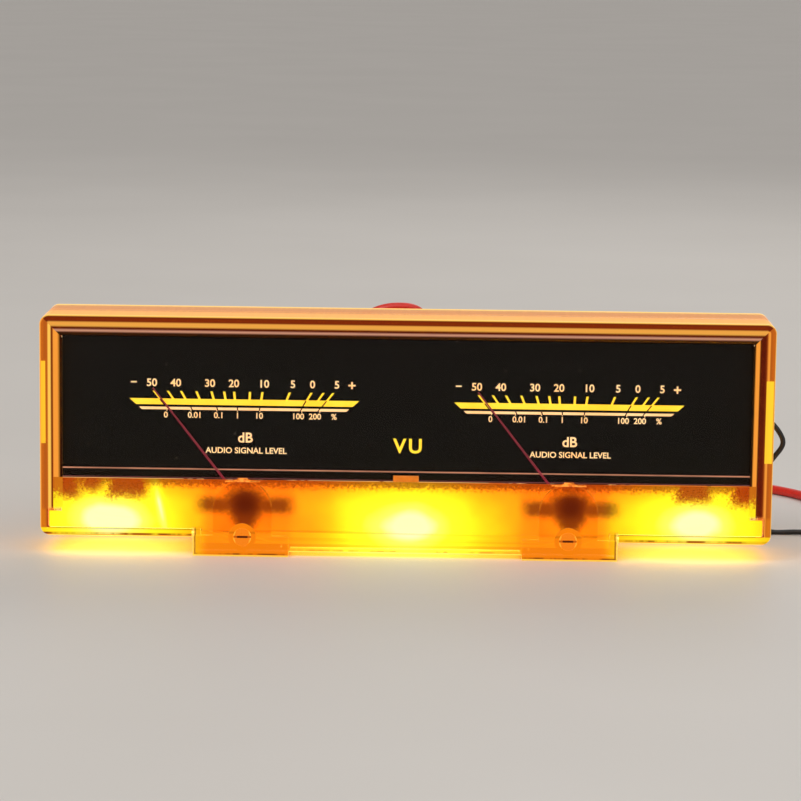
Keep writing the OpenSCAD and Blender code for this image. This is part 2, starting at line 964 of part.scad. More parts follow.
// Two solder lugs with eyes, held by a shoulder inside the housing
module terminals() {
    inner = housing_back - housing_wall;
    color([0.85, 0.7, 0.35])
        for (s = [-1, 1])
            translate([s * terminal_x, 0, terminal_z])
                difference() {
                    union() {
                        slab(inner - 1, inner)
                            square([3.2, terminal_t], center = true);
                        slab(inner - loose, housing_back + terminal_out)
                            square([terminal_w, terminal_t], center = true);
                    }
                    translate([0, front_y + housing_back + terminal_out - 1.4, 0])
                        cylinder(r = 0.7, h = 2, center = true);
                }
}

module rear_hairspring() {
    color([0.8, 0.62, 0.25])
        slab(rear_spring_front, rear_spring_front + spring_w)
            spiral();
    color([0.8, 0.62, 0.25])
        slab(rear_spring_front, rear_bridge_front)
            panel(-0.3, spring_out - spring_t, 0.3, spring_out + 0.4);
}

module front_hairspring() {
    color([0.8, 0.62, 0.25])
        slab(spring_front, spring_front + spring_w)
            spiral();
}

// The arm round the front jewel screw: a lug holds the hairspring, a fork below takes the pin
module zero_arm() {
    lug_t = 0.45;
    fork_top = zero_drop - zero_offset - 0.7;
    fork_end = zero_drop - zero_offset + 0.9;
    color([0.78, 0.76, 0.7])
        union() {
            slab(zero_plate, zero_plate + zero_t)
                difference() {
                    union() {
                        circle(1.9);
                        panel(-0.5, -fork_top, 0.5, 0);
                        panel(-1.2, -fork_end, 1.2, -fork_top + 0.4);
                        panel(-0.4, 0, 0.4, spring_out + lug_t);
                    }
                    circle(jewel_r + running);
                    panel(-pin_r - loose, -fork_end - cut, pin_r + loose, -fork_top);
                }
            slab(zero_plate, spring_front + spring_w)
                panel(-0.4, spring_out, 0.4, spring_out + lug_t);
        }
}

// The slotted screw in the window, with an off-centre pin behind it
module zero_screw() {
    translate([0, 0, -zero_drop])
        color([0.95, 0.6, 0.2])
            union() {
                difference() {
                    rod(zero_r, -foot_proud, screw_flange);
                    slab(-foot_proud - cut, -foot_proud + 0.8)
                        square([2 * zero_r + cut, 0.6], center = true);
                }
                rod(flange_r, window_t + running, screw_flange);
                translate([0, 0, zero_offset])
                    rod(pin_r, screw_flange - loose, zero_plate + zero_t + 0.2);
            }
}

// ---------------------------------------------------------------- moving system

// A flat frame round the core magnet: low and high are its front and back, half its side
module coil_frame(half, low, high, t) {
    translate([0, front_y, -coil_w / 2])
        linear_extrude(coil_w)
            difference() {
                translate([-half - t, low - t])
                    square([2 * (half + t), high - low + 2 * t]);
                translate([-half, low])
                    square([2 * half, high - low]);
            }
}

module coil_former() {
    color([0.8, 0.8, 0.8])
        at_rest()
            coil_frame(coil_side, coil_front, coil_back, former_t);
}

module coil_winding() {
    color([0.72, 0.36, 0.15])
        at_rest()
            coil_frame(
                coil_side + former_t, coil_front - former_t, coil_back + former_t, winding_t
            );
}

// The two staffs that carry the coil, each with a foot, a collet and a fine tip
module pivots() {
    front_end = bridge_front + bridge_t + 0.1;
    rear_end = rear_bridge_front - 0.1;
    color([0.7, 0.7, 0.74])
        union() {
            rod(1.1, winding_front - 0.3, winding_front);
            rod(staff_r, front_end, winding_front - 0.2);
            rod(tip_r, front_end - 0.35, front_end + loose);
            rod(collet_r, spring_front, spring_front + spring_w);
            rod(1.1, winding_back, winding_back + 0.2);
            rod(staff_r, winding_back + loose, rear_end);
            rod(tip_r, rear_end - loose, rear_end + 0.35);
            rod(collet_r, rear_spring_front, rear_spring_front + spring_w);
        }
}

// A tapered needle with a hub and three arms for the balance weights
module pointer() {
    hub_r = 1.1;
    color([0.6, 0.1, 0.12])
        at_rest()
            difference() {
                union() {
                    rod(hub_r, pointer_depth - 0.1, pointer_depth + pointer_t + 0.1);
                    slab(pointer_depth, pointer_depth + pointer_t)
                        polygon([
                            [-pointer_w / 2, 0], [pointer_w / 2, 0],
                            [pointer_tip_w / 2, pointer_len], [-pointer_tip_w / 2, pointer_len]
                        ]);
                    for (a = [90, 180, 270])
                        translate([0, front_y + arm_depth, 0])
                            rotate([0, a, 0])
                                cylinder(r = arm_r, h = arm_len);
                }
                rod(staff_r + 0.02, pointer_depth - cut, pointer_depth + pointer_t + cut);
            }
}

// A large weight on the tail balances the needle, and a small one on each side arm trims it
module balance_weights() {
    color([0.75, 0.66, 0.4])
        at_rest() {
            for (a = [90, 270])
                balance_weight(a, 0.7, 1.2);
            balance_weight(180, 1, 1.8);
        }
}

module balance_weight(a, r, h) {
    translate([0, front_y + arm_depth, 0])
        rotate([0, a, 0])
            translate([0, 0, arm_len - 0.1 - h])
                difference() {
                    cylinder(r = r, h = h);
                    translate([0, 0, -cut])
                        cylinder(r = arm_r + 0.02, h = h + 2 * cut);
                }
}

// ---------------------------------------------------------------- every node

front_cover();
frosted_screen();
rear_case();
dial_plate();
light_guide();
reflector_sheet();
centre_clip();
lamp_board(-1);  // lamp_board_left
lamp_board(0);  // lamp_board_centre
lamp_board(1);  // lamp_board_right
lamps(-1);  // lamps_left
lamps(0);  // lamps_centre
lamps(1);  // lamps_right
board_resistors();
board_screws();
movement_screws();
link_wires();
lead_grommets();
red_lead();
black_lead();
red_lead_tip();
black_lead_tip();
for (side = [["left", -1], ["right", 1]])
    at_movement(side[1]) {
        chassis();
        yoke();
        core_magnet();
        front_bridge();
        rear_bridge();
        jewel_screws();
        bridge_screws();
        terminals();
        rear_hairspring();
        front_hairspring();
        zero_arm();
        zero_screw();
        coil_former();
        coil_winding();
        pivots();
        pointer();
        balance_weights();
    }
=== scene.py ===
import json
import math

import bmesh
import bpy
import numpy as np
from mathutils import Matrix, Vector


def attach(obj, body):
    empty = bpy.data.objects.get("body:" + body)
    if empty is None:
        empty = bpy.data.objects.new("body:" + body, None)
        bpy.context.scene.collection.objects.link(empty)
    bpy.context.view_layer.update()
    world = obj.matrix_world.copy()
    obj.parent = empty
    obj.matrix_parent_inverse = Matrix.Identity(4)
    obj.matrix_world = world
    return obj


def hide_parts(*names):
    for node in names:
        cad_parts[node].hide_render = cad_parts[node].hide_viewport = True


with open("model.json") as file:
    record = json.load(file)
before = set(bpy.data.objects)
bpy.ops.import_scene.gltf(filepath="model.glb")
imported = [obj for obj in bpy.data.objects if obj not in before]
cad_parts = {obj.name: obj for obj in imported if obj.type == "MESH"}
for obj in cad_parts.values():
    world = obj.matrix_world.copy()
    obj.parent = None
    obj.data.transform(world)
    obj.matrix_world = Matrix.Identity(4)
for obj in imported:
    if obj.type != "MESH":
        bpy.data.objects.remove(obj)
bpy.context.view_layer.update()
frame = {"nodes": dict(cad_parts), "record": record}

# Everything below is written in millimetres and made metres where a mesh or a socket takes it.
# A depth is measured back from the front face of the window, whose y is FRONT.
MM = 0.001
FRONT = -13.75
CASE_DEPTH = 20.0
BACK = FRONT + CASE_DEPTH
CASE_HALF = 82.5
CASE_LOW, CASE_TOP = 4.0, 54.2
COVER_DEPTH = 9.0
AXIS_X, AXIS_Z = 36.75, 10.8
DIAL_DEPTH = 6.2
BOARD_X = 64.5
FOOT_IN, FOOT_OUT = 26.3, 48.0
SCREW_Z = AXIS_Z - 6.4
BOSS_RADIUS, HOUSING, CORNER = 6.6, 21.6, 2.2
NEEDLE_REST = math.radians(-38)
GUIDE = np.array([0.35, 0.62, 0.7])
SIDES = (("left", -1), ("right", 1))
nodes = frame["nodes"]


def placed(name, data):
    """A new object with its data, in the scene."""
    obj = bpy.data.objects.new(name, data)
    bpy.context.collection.objects.link(obj)
    return obj


# ------------ camera

FOCAL, WIDTH = 3157.3, 801  # of the photo, in its pixels


def aim_camera():
    """A long lens about 0.7 m in front and 9 degrees above, panned, tilted and rolled as the photo's was."""
    place = Vector((6.66, FRONT - 700.0, 144.0)) * MM
    pan, tilt, roll = math.radians(-0.66), math.radians(8.78), math.radians(0.70)
    ahead = Vector((math.sin(pan) * math.cos(tilt), math.cos(pan) * math.cos(tilt), -math.sin(tilt)))
    level = Vector((math.cos(pan), -math.sin(pan), 0))
    up = level.cross(ahead)
    right = level * math.cos(roll) + up * math.sin(roll)
    top = up * math.cos(roll) - level * math.sin(roll)
    camera = bpy.data.cameras.new("camera")
    camera.sensor_width = 36
    camera.lens = camera.sensor_width * FOCAL / WIDTH
    camera.clip_start, camera.clip_end = 0.01, 100
    obj = placed("camera", camera)
    turn = Matrix((right, top, -ahead)).transposed()
    obj.matrix_world = Matrix.Translation(place) @ turn.to_4x4()
    bpy.context.scene.camera = obj


aim_camera()


# ------------ meshes

def grid_faces(rows, cols, close_cols=False, close_rows=False):
    """Corners of each cell of a grid of points: cell (i, j) joins points (i, j), (i, j+1), (i+1, j+1),
    (i+1, j). A closed direction joins its last points to its first."""
    i = np.arange(rows if close_rows else rows - 1)[:, None]
    j = np.arange(cols if close_cols else cols - 1)[None, :]
    here, there, k = i * cols, (i + 1) % rows * cols, (j + 1) % cols
    return np.stack(np.broadcast_arrays(here + j, here + k, there + k, there + j), -1).reshape(-1, 4)


def add_piece(name, shape, body, slot, look=None, smooth=True, stands_for=()):
    """Its look is its slot's, or another."""
    points, faces = shape
    mesh = bpy.data.meshes.new(name)
    points = (np.asarray(points) * MM).tolist()
    mesh.from_pydata(points, [], [list(f) for f in faces], shade_flat=not smooth)
    mesh.update()
    return declare(placed(name, mesh), body, look or slot, stands_for)


def declare(obj, body, look, stands_for=()):
    """Gives an object its look, and says its body and the CAD nodes that it stands for."""
    obj.data.materials.append(finish[look])
    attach(obj, body)
    if stands_for:
        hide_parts(*stands_for)
    return obj


def smooth_path(points, steps):
    """Catmull-Rom curve: between two points the cubic is set by them and their two neighbours, all
    stretches at once."""
    p = np.asarray(points, float)
    q = np.vstack([p[:1], p, p[-1:]])
    a, b, c, d = (q[k:k + len(p) - 1, None, :] for k in range(4))
    t = (np.arange(steps) / steps)[None, :, None]
    square, cube = 2 * a - 5 * b + 4 * c - d, 3 * b - a - 3 * c + d
    curve = 0.5 * (2 * b + (c - a) * t + square * t ** 2 + cube * t ** 3)
    return np.vstack([curve.reshape(-1, 3), p[-1:]])


def square_to(path):
    """Two directions square to the path at each point: GUIDE with its share along the path taken out, and
    the cross of the path's direction and that one."""
    along = np.gradient(path, axis=0)
    along /= np.linalg.norm(along, axis=1)[:, None]
    across = GUIDE - (along @ GUIDE)[:, None] * along
    across /= np.linalg.norm(across, axis=1)[:, None]
    return across, np.cross(along, across)


def tube(path, radius, sides):
    """Round tube: point = path + radius * (cos a * across + sin a * up). A centre point closes each end."""
    path = np.asarray(path, float)
    across, up = square_to(path)
    a = np.linspace(0, 2 * np.pi, sides, endpoint=False)[None, :, None]
    rings = path[:, None] + radius * (np.cos(a) * across[:, None] + np.sin(a) * up[:, None])
    n = len(path)
    points = np.vstack([rings.reshape(-1, 3), path[:1], path[-1:]])
    k, last = np.arange(sides), (n - 1) * sides
    after = (k + 1) % sides
    first_fan = np.stack([np.full(sides, n * sides), after, k], -1)
    last_fan = np.stack([np.full(sides, n * sides + 1), last + k, last + after], -1)
    return points, grid_faces(n, sides, True).tolist() + first_fan.tolist() + last_fan.tolist()


def turned(profile, centre, sides=48):
    """Solid of revolution about an axis along the depth: profile rows are (radius, depth), and radius 0
    closes an end."""
    profile = np.asarray(profile, float)
    a = np.linspace(0, 2 * np.pi, sides, endpoint=False)[None, :]
    r, d = profile[:, :1], profile[:, 1:]
    x, z = centre[0] + r * np.cos(a), centre[1] + r * np.sin(a)
    points = np.stack(np.broadcast_arrays(x, FRONT + d, z), -1).reshape(-1, 3)
    return points, grid_faces(len(profile), sides, True)


def several(parts):
    """Joins (points, faces) pairs into one pair."""
    points, faces, start = [], [], 0
    for p, f in parts:
        points.append(p)
        faces += [[start + k for k in face] for face in (f.tolist() if isinstance(f, np.ndarray) else f)]
        start += len(p)
    return np.vstack(points), faces


def plates(corners, front, back):
    """Flat plates with four slanted sides: corners holds for each its four (x, z) points, anticlockwise
    from the front."""
    c = np.asarray(corners, float)
    shape = c.shape[:2]
    near = np.stack([c[..., 0], np.full(shape, FRONT + front), c[..., 1]], -1)
    far = near + [0, back - front, 0]
    points = np.concatenate([near, far], 1).reshape(-1, 3)
    one = np.array([[0, 1, 2, 3], [7, 6, 5, 4], [0, 4, 5, 1], [1, 5, 6, 2], [2, 6, 7, 3], [3, 7, 4, 0]])
    return points, (np.arange(len(c))[:, None, None] * 8 + one).reshape(-1, 4)


# ------------ cords

RED_POINTS = [
    [-9, -2.1, 47.5], [-9, 2.4, 47.5], [-10.2, 4.8, 49.2], [-8.6, 5.6, 52.2], [-3.2, 5.8, 53.7],
    [2.4, 6.4, 52.6], [6, 9.4, 46], [9.4, 16, 34], [14.4, 26, 19], [21, 38, 7.4], [30, 49, 1.8],
    [41, 58, 1.1],
    [53, 65, 1.1], [65, 69.6, 1.1], [77, 71.4, 1.1], [88, 69.6, 1.1], [96.4, 61.6, 1.1],
    [101.6, 51.6, 1.1], [104.4, 40.6, 1.1], [105.6, 30, 1.1],
]
BLACK_POINTS = [
    [75.6, -2.1, 31], [75.6, 2, 31], [78.2, 5, 31], [84, 5.9, 28.4], [87.4, 5.7, 23.6],
    [85.2, 6, 19.4], [81.6, 7.4, 14.6], [80.6, 9, 8.6], [82.2, 11.6, 3.2], [86, 13.6, 0.6],
    [92, 13.6, 0.6], [98, 13, 0.6], [105, 12.6, 0.6], [111.4, 15, 0.6], [115.4, 20.6, 0.6],
    [117, 28, 0.6], [117.4, 36, 0.6], [117, 44, 0.6], [115.4, 52, 0.6], [112.6, 59.6, 0.6],
    [108.6, 66.4, 0.6],
]


def lay_cord(name, points, radius, slot):
    """A supply lead along its route, and its bare tinned end: a core and six strands that wind most of a
    turn round it."""
    path = smooth_path(np.asarray(points) + [0, BACK, 0], 10)
    steps = np.linalg.norm(np.diff(path, axis=0), axis=1)
    cord = add_piece(name + "_cord", tube(path, radius, 20), "case", slot, stands_for=(name,))
    way = path[-1] - path[-2]
    way = way / np.linalg.norm(way)
    t = np.linspace(0, 1, 24)
    line = path[-1] + way * (6.0 * t - 0.3)[:, None]
    across, up = square_to(line)
    strand = radius / 6.6
    strands = [tube(line, strand, 8)]
    for k in range(6):
        a = 2 * math.pi * (k / 6 + 0.8 * t)[:, None]
        strands.append(tube(line + 2 * strand * (np.cos(a) * across + np.sin(a) * up), strand, 8))
    tip = add_piece(name + "_tip_strands", several(strands), "case", "tinned_copper",
                    stands_for=(name + "_tip",))
    float(steps.sum()) * MM


# ------------ materials

def linear(red, green, blue):
    """An 8-bit display colour as the linear colour that a socket takes."""
    def one(v):
        v /= 255
        return v / 12.92 if v <= 0.04045 else ((v + 0.055) / 1.055) ** 2.4
    return (one(red), one(green), one(blue), 1.0)


def shaded(colour, share):
    """A colour times a share."""
    return tuple(c * share for c in colour[:3]) + (1.0,)


def math_node(operation, swapped=False):
    """A method that puts a Math node after a value; swapped has the value as its second term."""
    def method(self, other=None):
        return self.net.sum(operation, *((other, self) if swapped else (self, other)))
    return method


class Value:
    """An output socket of a net, which is added, multiplied and compared as a number is."""

    def __init__(self, net, socket):
        self.net, self.socket = net, socket

    __add__, __radd__ = math_node("ADD"), math_node("ADD", True)
    __sub__, __rsub__ = math_node("SUBTRACT"), math_node("SUBTRACT", True)
    __mul__, __rmul__ = math_node("MULTIPLY"), math_node("MULTIPLY", True)
    __lt__, __gt__ = math_node("LESS_THAN"), math_node("GREATER_THAN")
    __truediv__, __abs__ = math_node("DIVIDE"), math_node("ABSOLUTE")

    def step(self, low, high, out_low=0.0, out_high=1.0):
        """Smooth step: out_low below low, out_high above high."""
        return self.net.call("ShaderNodeMapRange", {0: self, 1: low, 2: high, 3: out_low, 4: out_high},
                             interpolation_type="SMOOTHSTEP")

    def fall(self, low, high):
        """Smooth step down: 1 below low, 0 above high."""
        return self.step(low, high, 1.0, 0.0)

    def window(self, low, high, soft):
        """1 between low and high, with soft sides."""
        return self.step(low - soft, low + soft) * self.fall(high - soft, high + soft)

    def bell(self, middle, width):
        """exp(-((value - middle) / width) ** 2)"""
        off = (self - middle) * (1 / width)
        return self.net.sum("EXPONENT", off * off * -1.0)


def chosen(operation, first, others):
    """The operation over several values, two at a time."""
    for other in others:
        first = first.net.sum(operation, first, other)
    return first


def larger(first, *others):
    return chosen("MAXIMUM", first, others)


def smaller(first, *others):
    return chosen("MINIMUM", first, others)


def away(a, b):
    """The way from the origin to (a, b)."""
    return a.net.sum("SQRT", a * a + b * b)


class Net:
    """Short calls for the nodes that the materials and groups are made of. Each call returns a Value."""

    def __init__(self, tree):
        self.tree = tree

    def put(self, kind, **settings):
        node = self.tree.nodes.new(kind)
        for key, value in settings.items():
            setattr(node, key, value)
        return node

    def feed(self, socket, value):
        if isinstance(value, Value):
            self.tree.links.new(value.socket, socket)
        elif value is not None:
            socket.default_value = value

    def call(self, kind, values, out=0, **settings):
        """A new node with values for its inputs, by number or by name, and the one output that is wanted."""
        node = self.put(kind, **settings)
        for key, value in values.items():
            self.feed(node.inputs[key], value)
        return Value(self, node.outputs[out])

    def outputs(self, node):
        return {socket.name: Value(self, socket) for socket in node.outputs}

    def sum(self, operation, a, b=None):
        return self.call("ShaderNodeMath", {0: a, 1: b}, operation=operation)

    def noise(self, vector, scale, detail=2.0, rough=0.5):
        values = {"Vector": vector, "Scale": scale, "Detail": detail, "Roughness": rough}
        return self.call("ShaderNodeTexNoise", values, "Fac")

    def cells(self, vector, scale):
        """How far a point is from its cell's middle, and the cell's own random value."""
        node = self.put("ShaderNodeTexVoronoi")
        self.feed(node.inputs["Vector"], vector)
        self.feed(node.inputs["Scale"], scale)
        out = self.outputs(node)
        return out["Distance"], self.call("ShaderNodeSeparateXYZ", {0: out["Color"]})

    def stretch(self, vector, scale, turn=(0, 0, 0), move=(0, 0, 0)):
        values = {"Vector": vector, "Scale": scale, "Rotation": turn, "Location": move}
        return self.call("ShaderNodeMapping", values)

    def blend(self, share, a, b, kind="MIX"):
        """Colour a where share is 0 and b where it is 1."""
        return self.call("ShaderNodeMix", {0: share, 6: a, 7: b}, 2, data_type="RGBA", blend_type=kind)

    def ramp(self, value, stops):
        """Colour by value: stops are (value, colour)."""
        node = self.put("ShaderNodeValToRGB")
        band = node.color_ramp
        while len(band.elements) < len(stops):
            band.elements.new(0.5)
        for element, (place, colour) in zip(band.elements, stops):
            element.position, element.color = place, colour
        self.feed(node.inputs[0], value)
        return Value(self, node.outputs[0])

    def axes(self, vector):
        """x, depth and z of a point, in millimetres."""
        node = self.put("ShaderNodeSeparateXYZ")
        self.feed(node.inputs[0], vector)
        x, y, z = (Value(self, socket) * 1000.0 for socket in node.outputs)
        return x, y - FRONT, z

    def group(self, tree, **values):
        """A node group with its inputs by name, and its outputs by name."""
        node = self.put("ShaderNodeGroup", node_tree=tree)
        for key, value in values.items():
            self.feed(node.inputs[key], value)
        return self.outputs(node)


def node_group(name, inputs, outputs, build):
    """A shader node group with the inputs and outputs named; build fills it and returns its outputs."""
    tree = bpy.data.node_groups.new(name, "ShaderNodeTree")
    kinds = {"Vector": "NodeSocketVector", "Colour": "NodeSocketColor"}
    for labels, way in ((inputs, "INPUT"), (outputs, "OUTPUT")):
        for label in labels.split():
            tree.interface.new_socket(name=label, in_out=way, socket_type=kinds.get(label, "NodeSocketFloat"))
    net = Net(tree)
    start, end = net.outputs(net.put("NodeGroupInput")), net.put("NodeGroupOutput")
    for socket, value in zip(end.inputs, build(net, *[start[label] for label in inputs.split()])):
        net.feed(socket, value)
    return tree


def build_grain(net, vector, scale, depth):
    """Fine grain of a moulded or cast surface: two sizes of noise added, the small one at a third of the
    height."""
    big = net.noise(vector, scale, 3.0, 0.6)
    small = net.noise(vector, scale * 4.3, 2.0, 0.5)
    height = (big + small * 0.33) * depth
    return height, big.step(0.3, 0.7)


def build_hairlines(net, vector, scale, share):
    """Fine scratches: noise stretched thin, cut to its peaks, times a slow noise that leaves places bare."""
    lines = net.noise(vector, scale, 4.0, 0.65)
    places = net.noise(vector, scale * 0.13, 1.0, 0.5)
    mask = lines.step(0.56, 0.68) * places.step(0.4, 0.62)
    return (mask * share,)


def build_specks(net, vector, scale, share):
    """Dots, for dust and for the speckle of painted shade on the frosted screen: cells whose own random value
    is under share, round near the cell's middle.
    """
    distance, own = net.cells(vector, scale)
    return ((own < share) * distance.fall(0.16, 0.34),)


def build_lamp_glow(net, vector):
    """Light of the three groups of lamps on the front. Each gives a wide bell along x and a hot core; the
    larger of the three is taken, and it is weaker before the movements. Level is 0 to 1, and Colour runs
    from orange over yellow to near white."""
    x, _, z = net.axes(vector)
    lamps = ((-66.8, 7.6), (0.4, 7.0), (65.6, 8.2))
    wide = larger(*[x.bell(middle, 17.5) for middle, _ in lamps])
    core = larger(*[x.bell(middle, 11.5) * z.bell(height, 5.0) for middle, height in lamps])
    movement = abs(x).window(26.2, 45.6, 1.6)
    level = 0.1 + wide * (1 - movement * 0.85) * 0.53 + core * 0.44
    return level, net.ramp(level, LAMP_COLOURS)


def build_rim(net, vector):
    """Distances in mm from the outline of the case's front, inwards. Edge follows the rounded upper
    corners; Side is the way to the nearer side, Top the way to the top and Low the way
    to the raised bottom."""
    x, _, z = net.axes(vector)
    side = CASE_HALF - abs(x)
    top = CASE_TOP - z
    low = z - CASE_LOW
    corner = CORNER - away(larger(CORNER - side, 0), larger(CORNER - top, 0))
    beyond = larger(smaller(side, top) - CORNER, 0)
    return corner + beyond, side, top, low


# level of the lamps' light and its colour
LAMP_COLOURS = [(level, linear(*colour)) for level, colour in (
    (0.0, (224, 98, 8)), (0.13, (251, 138, 14)), (0.32, (255, 196, 20)), (0.48, (255, 236, 30)),
    (0.7, (255, 250, 44)), (0.88, (255, 253, 100)), (1.0, (255, 253, 186)))]
GRAIN = node_group("moulded_grain", "Vector Scale Depth", "Height Mask", build_grain)
HAIRLINES = node_group("hairlines", "Vector Scale Share", "Mask", build_hairlines)
SPECKS = node_group("specks", "Vector Scale Share", "Mask", build_specks)
LAMP_GLOW = node_group("lamp_glow", "Vector", "Level Colour", build_lamp_glow)
RIM = node_group("rim_distance", "Vector", "Edge Side Top Low", build_rim)


class Surface(Net):
    """A material with one Principled BSDF, whose own sockets take the plain values."""

    def __init__(self, name, base, roughness, **plain):
        self.mat = bpy.data.materials.new(name)
        self.mat.use_nodes = True
        self.mat.diffuse_color = base
        super().__init__(self.mat.node_tree)
        self.tree.nodes.clear()
        self.shader = self.put("ShaderNodeBsdfPrincipled")
        self.tree.links.new(self.shader.outputs[0], self.put("ShaderNodeOutputMaterial").inputs[0])
        self.set(Base_Color=base, Roughness=roughness, **plain)

    def set(self, **values):
        """Sets or links the shader's sockets, named with _ for a space."""
        for key, value in values.items():
            self.feed(self.shader.inputs[key.replace("_", " ")], value)

    def bump(self, height, relief):
        """Bump from a height of 0 to 1, whose full relief is in millimetres."""
        values = {"Strength": 1.0, "Distance": relief * MM, "Height": height}
        self.set(Normal=self.call("ShaderNodeBump", values))

    def grain(self, place, scale, depth, relief, low, high):
        """Moulded grain in the relief and in the roughness, which goes from low to high with the grain's
        mask."""
        grain = self.group(GRAIN, Vector=place, Scale=scale, Depth=depth)
        self.bump(grain["Height"], relief)
        self.set(Roughness=grain["Mask"].step(0.0, 1.0, low, high))
        return grain["Mask"]


def surface(name, base, roughness, **plain):
    """A Surface and its Object coordinates."""
    net = Surface(name, base, roughness, **plain)
    return net, net.outputs(net.put("ShaderNodeTexCoord"))["Object"]


def plastic(name, colour, roughness, grain_scale, relief, shade):
    """Moulded plastic: grain in its relief, its roughness and a little in its colour."""
    base = linear(*colour)
    net, place = surface(name, base, roughness)
    mask = net.grain(place, grain_scale, 0.7, relief, roughness * 0.85, roughness * 1.15)
    net.set(Base_Color=net.blend(mask, shaded(base, shade), base))
    return net.mat


def metal(name, colour, roughness, lines=(1, 1, 1), line_scale=3000.0, tarnish=0.7, relief=0.004):
    """Worked metal: fine lines drawn out along one direction, and a slow change of colour where it has
    dulled."""
    base = linear(*colour)
    net, place = surface(name, base, roughness, Metallic=1.0)
    along = net.stretch(place, lines)
    fine = net.noise(along, line_scale, 3.0, 0.6)
    slow = net.noise(place, 420.0, 3.0, 0.6)
    scratch = net.group(HAIRLINES, Vector=along, Scale=line_scale * 0.4, Share=1.0)["Mask"]
    net.set(Base_Color=net.blend(slow.step(0.35, 0.7), base, shaded(base, tarnish)),
            Roughness=fine.step(0.3, 0.7, roughness * 0.75, roughness * 1.2) + scratch * 0.12)
    net.bump(fine - scratch * 0.5, relief)
    return net.mat


def lit(name, colour, weak_colour):
    """A mark that the light guide shines through: its own light, a little uneven, on a pale print."""
    net, place = surface(name, shaded(linear(*colour), 0.5), 0.4, Emission_Strength=1.0)
    fine = net.noise(place, 2600.0, 2.0, 0.5)
    share = net.noise(place, 160.0, 3.0, 0.6) * 0.8 + fine * 0.3
    net.set(Emission_Color=net.blend(share.step(0.35, 0.75), linear(*weak_colour), linear(*colour)))
    net.bump(fine, 0.003)
    return net.mat


def glowing(name, colour, light, roughness):
    """Moulded plastic beside the lamps: grain as elsewhere, and the light that it passes on, a little
    uneven."""
    base, light = linear(*colour), linear(*light)
    net, place = surface(name, base, roughness, Emission_Strength=1.0)
    mask = net.grain(place, 1700.0, 0.7, 0.012, roughness * 0.85, roughness * 1.15)
    uneven = net.noise(place, 240.0, 3.0, 0.6).step(0.3, 0.7)
    net.set(Emission_Color=net.blend(uneven, shaded(light, 0.62), light),
            Base_Color=net.blend(mask, shaded(base, 0.8), base))
    return net.mat


STRENGTH = 3.0
BLACK = (0, 0, 0, 1)
WINDOW_TINT = (1.0, 0.96, 0.90, 1.0)
AMBER_TINT = (1.0, 0.93, 0.80, 1.0)


def glow(red, green, blue, share=1.0):
    """A display colour as the share of the shells' emission strength that shows it."""
    return shaded(linear(red, green, blue), share / STRENGTH)


def stripes(net, distance, rows, reach=5.0):
    """Colour by a distance in mm: rows are (distance, red, green, blue), up to reach."""
    return net.ramp(distance * (1 / reach), [(d / reach, glow(r, g, b)) for d, r, g, b in rows])


def wear(net, place):
    """Fine scratches, dust and the faint flow lines of a clear moulding."""
    flow = net.noise(net.stretch(place, (1, 0.08, 0.08)), 900.0, 3.0, 0.6)
    leaning = net.stretch(place, (0.35, 1, 1), (0, 0.5, 0))
    scratch = net.group(HAIRLINES, Vector=leaning, Scale=1500.0, Share=0.22)["Mask"]
    dust = net.group(SPECKS, Vector=place, Scale=1300.0, Share=0.012)["Mask"]
    net.set(Roughness=0.02 + scratch * 0.1 + dust * 0.2)
    net.bump(flow * 0.12 + scratch, 0.0006)
    return flow


def shell(name, tint):
    """What both clear shells begin with: a worn surface, and the values that its light depends on."""
    net, place = surface(name, AMBER_TINT, 0.03, Transmission_Weight=1.0, IOR=1.5, Emission_Strength=STRENGTH,
                         Specular_Tint=tint)
    x, depth, z = net.axes(place)
    rim, lamps = net.group(RIM, Vector=place), net.group(LAMP_GLOW, Vector=place)
    shine = wear(net, place).step(0.3, 0.7, 0.93, 1.0)
    raised = abs(x).step(FOOT_OUT, FOOT_OUT + 0.3)
    return net, place, (x, abs(x), depth, z), rim, lamps, shine, raised


def light_below(net, ax, z, raised, lamps, colour, share=1.0):
    """The undersides of the raised ends and of the skirt between the feet, which light what the meter
    stands on."""
    under = z.fall(CASE_LOW + 0.04, CASE_LOW + 0.16) * raised
    skirt = z.fall(0.84, 0.96) * ax.fall(FOOT_IN - 0.1, FOOT_IN) * share
    light = net.blend(lamps["Level"], glow(255, 150, 24, 2.0), glow(255, 214, 70, 3.0))
    return net.blend(larger(under, skirt), colour, light)


# painted light and shade in the cover's walls and ribs, as display colours
EDGE_LINE, LIGHT, GOLD, ORANGE = (255, 200, 90), (255, 200, 84), (232, 162, 68), (246, 154, 56)
AMBER, BROWN, DEEP, PALE, UNLIT = (182, 90, 22), (110, 34, 3), (76, 12, 2), (206, 146, 120), (0, 0, 0)
WARM, TAN, HONEY, UMBER = (240, 160, 46), (210, 132, 30), (184, 110, 16), (130, 66, 14)
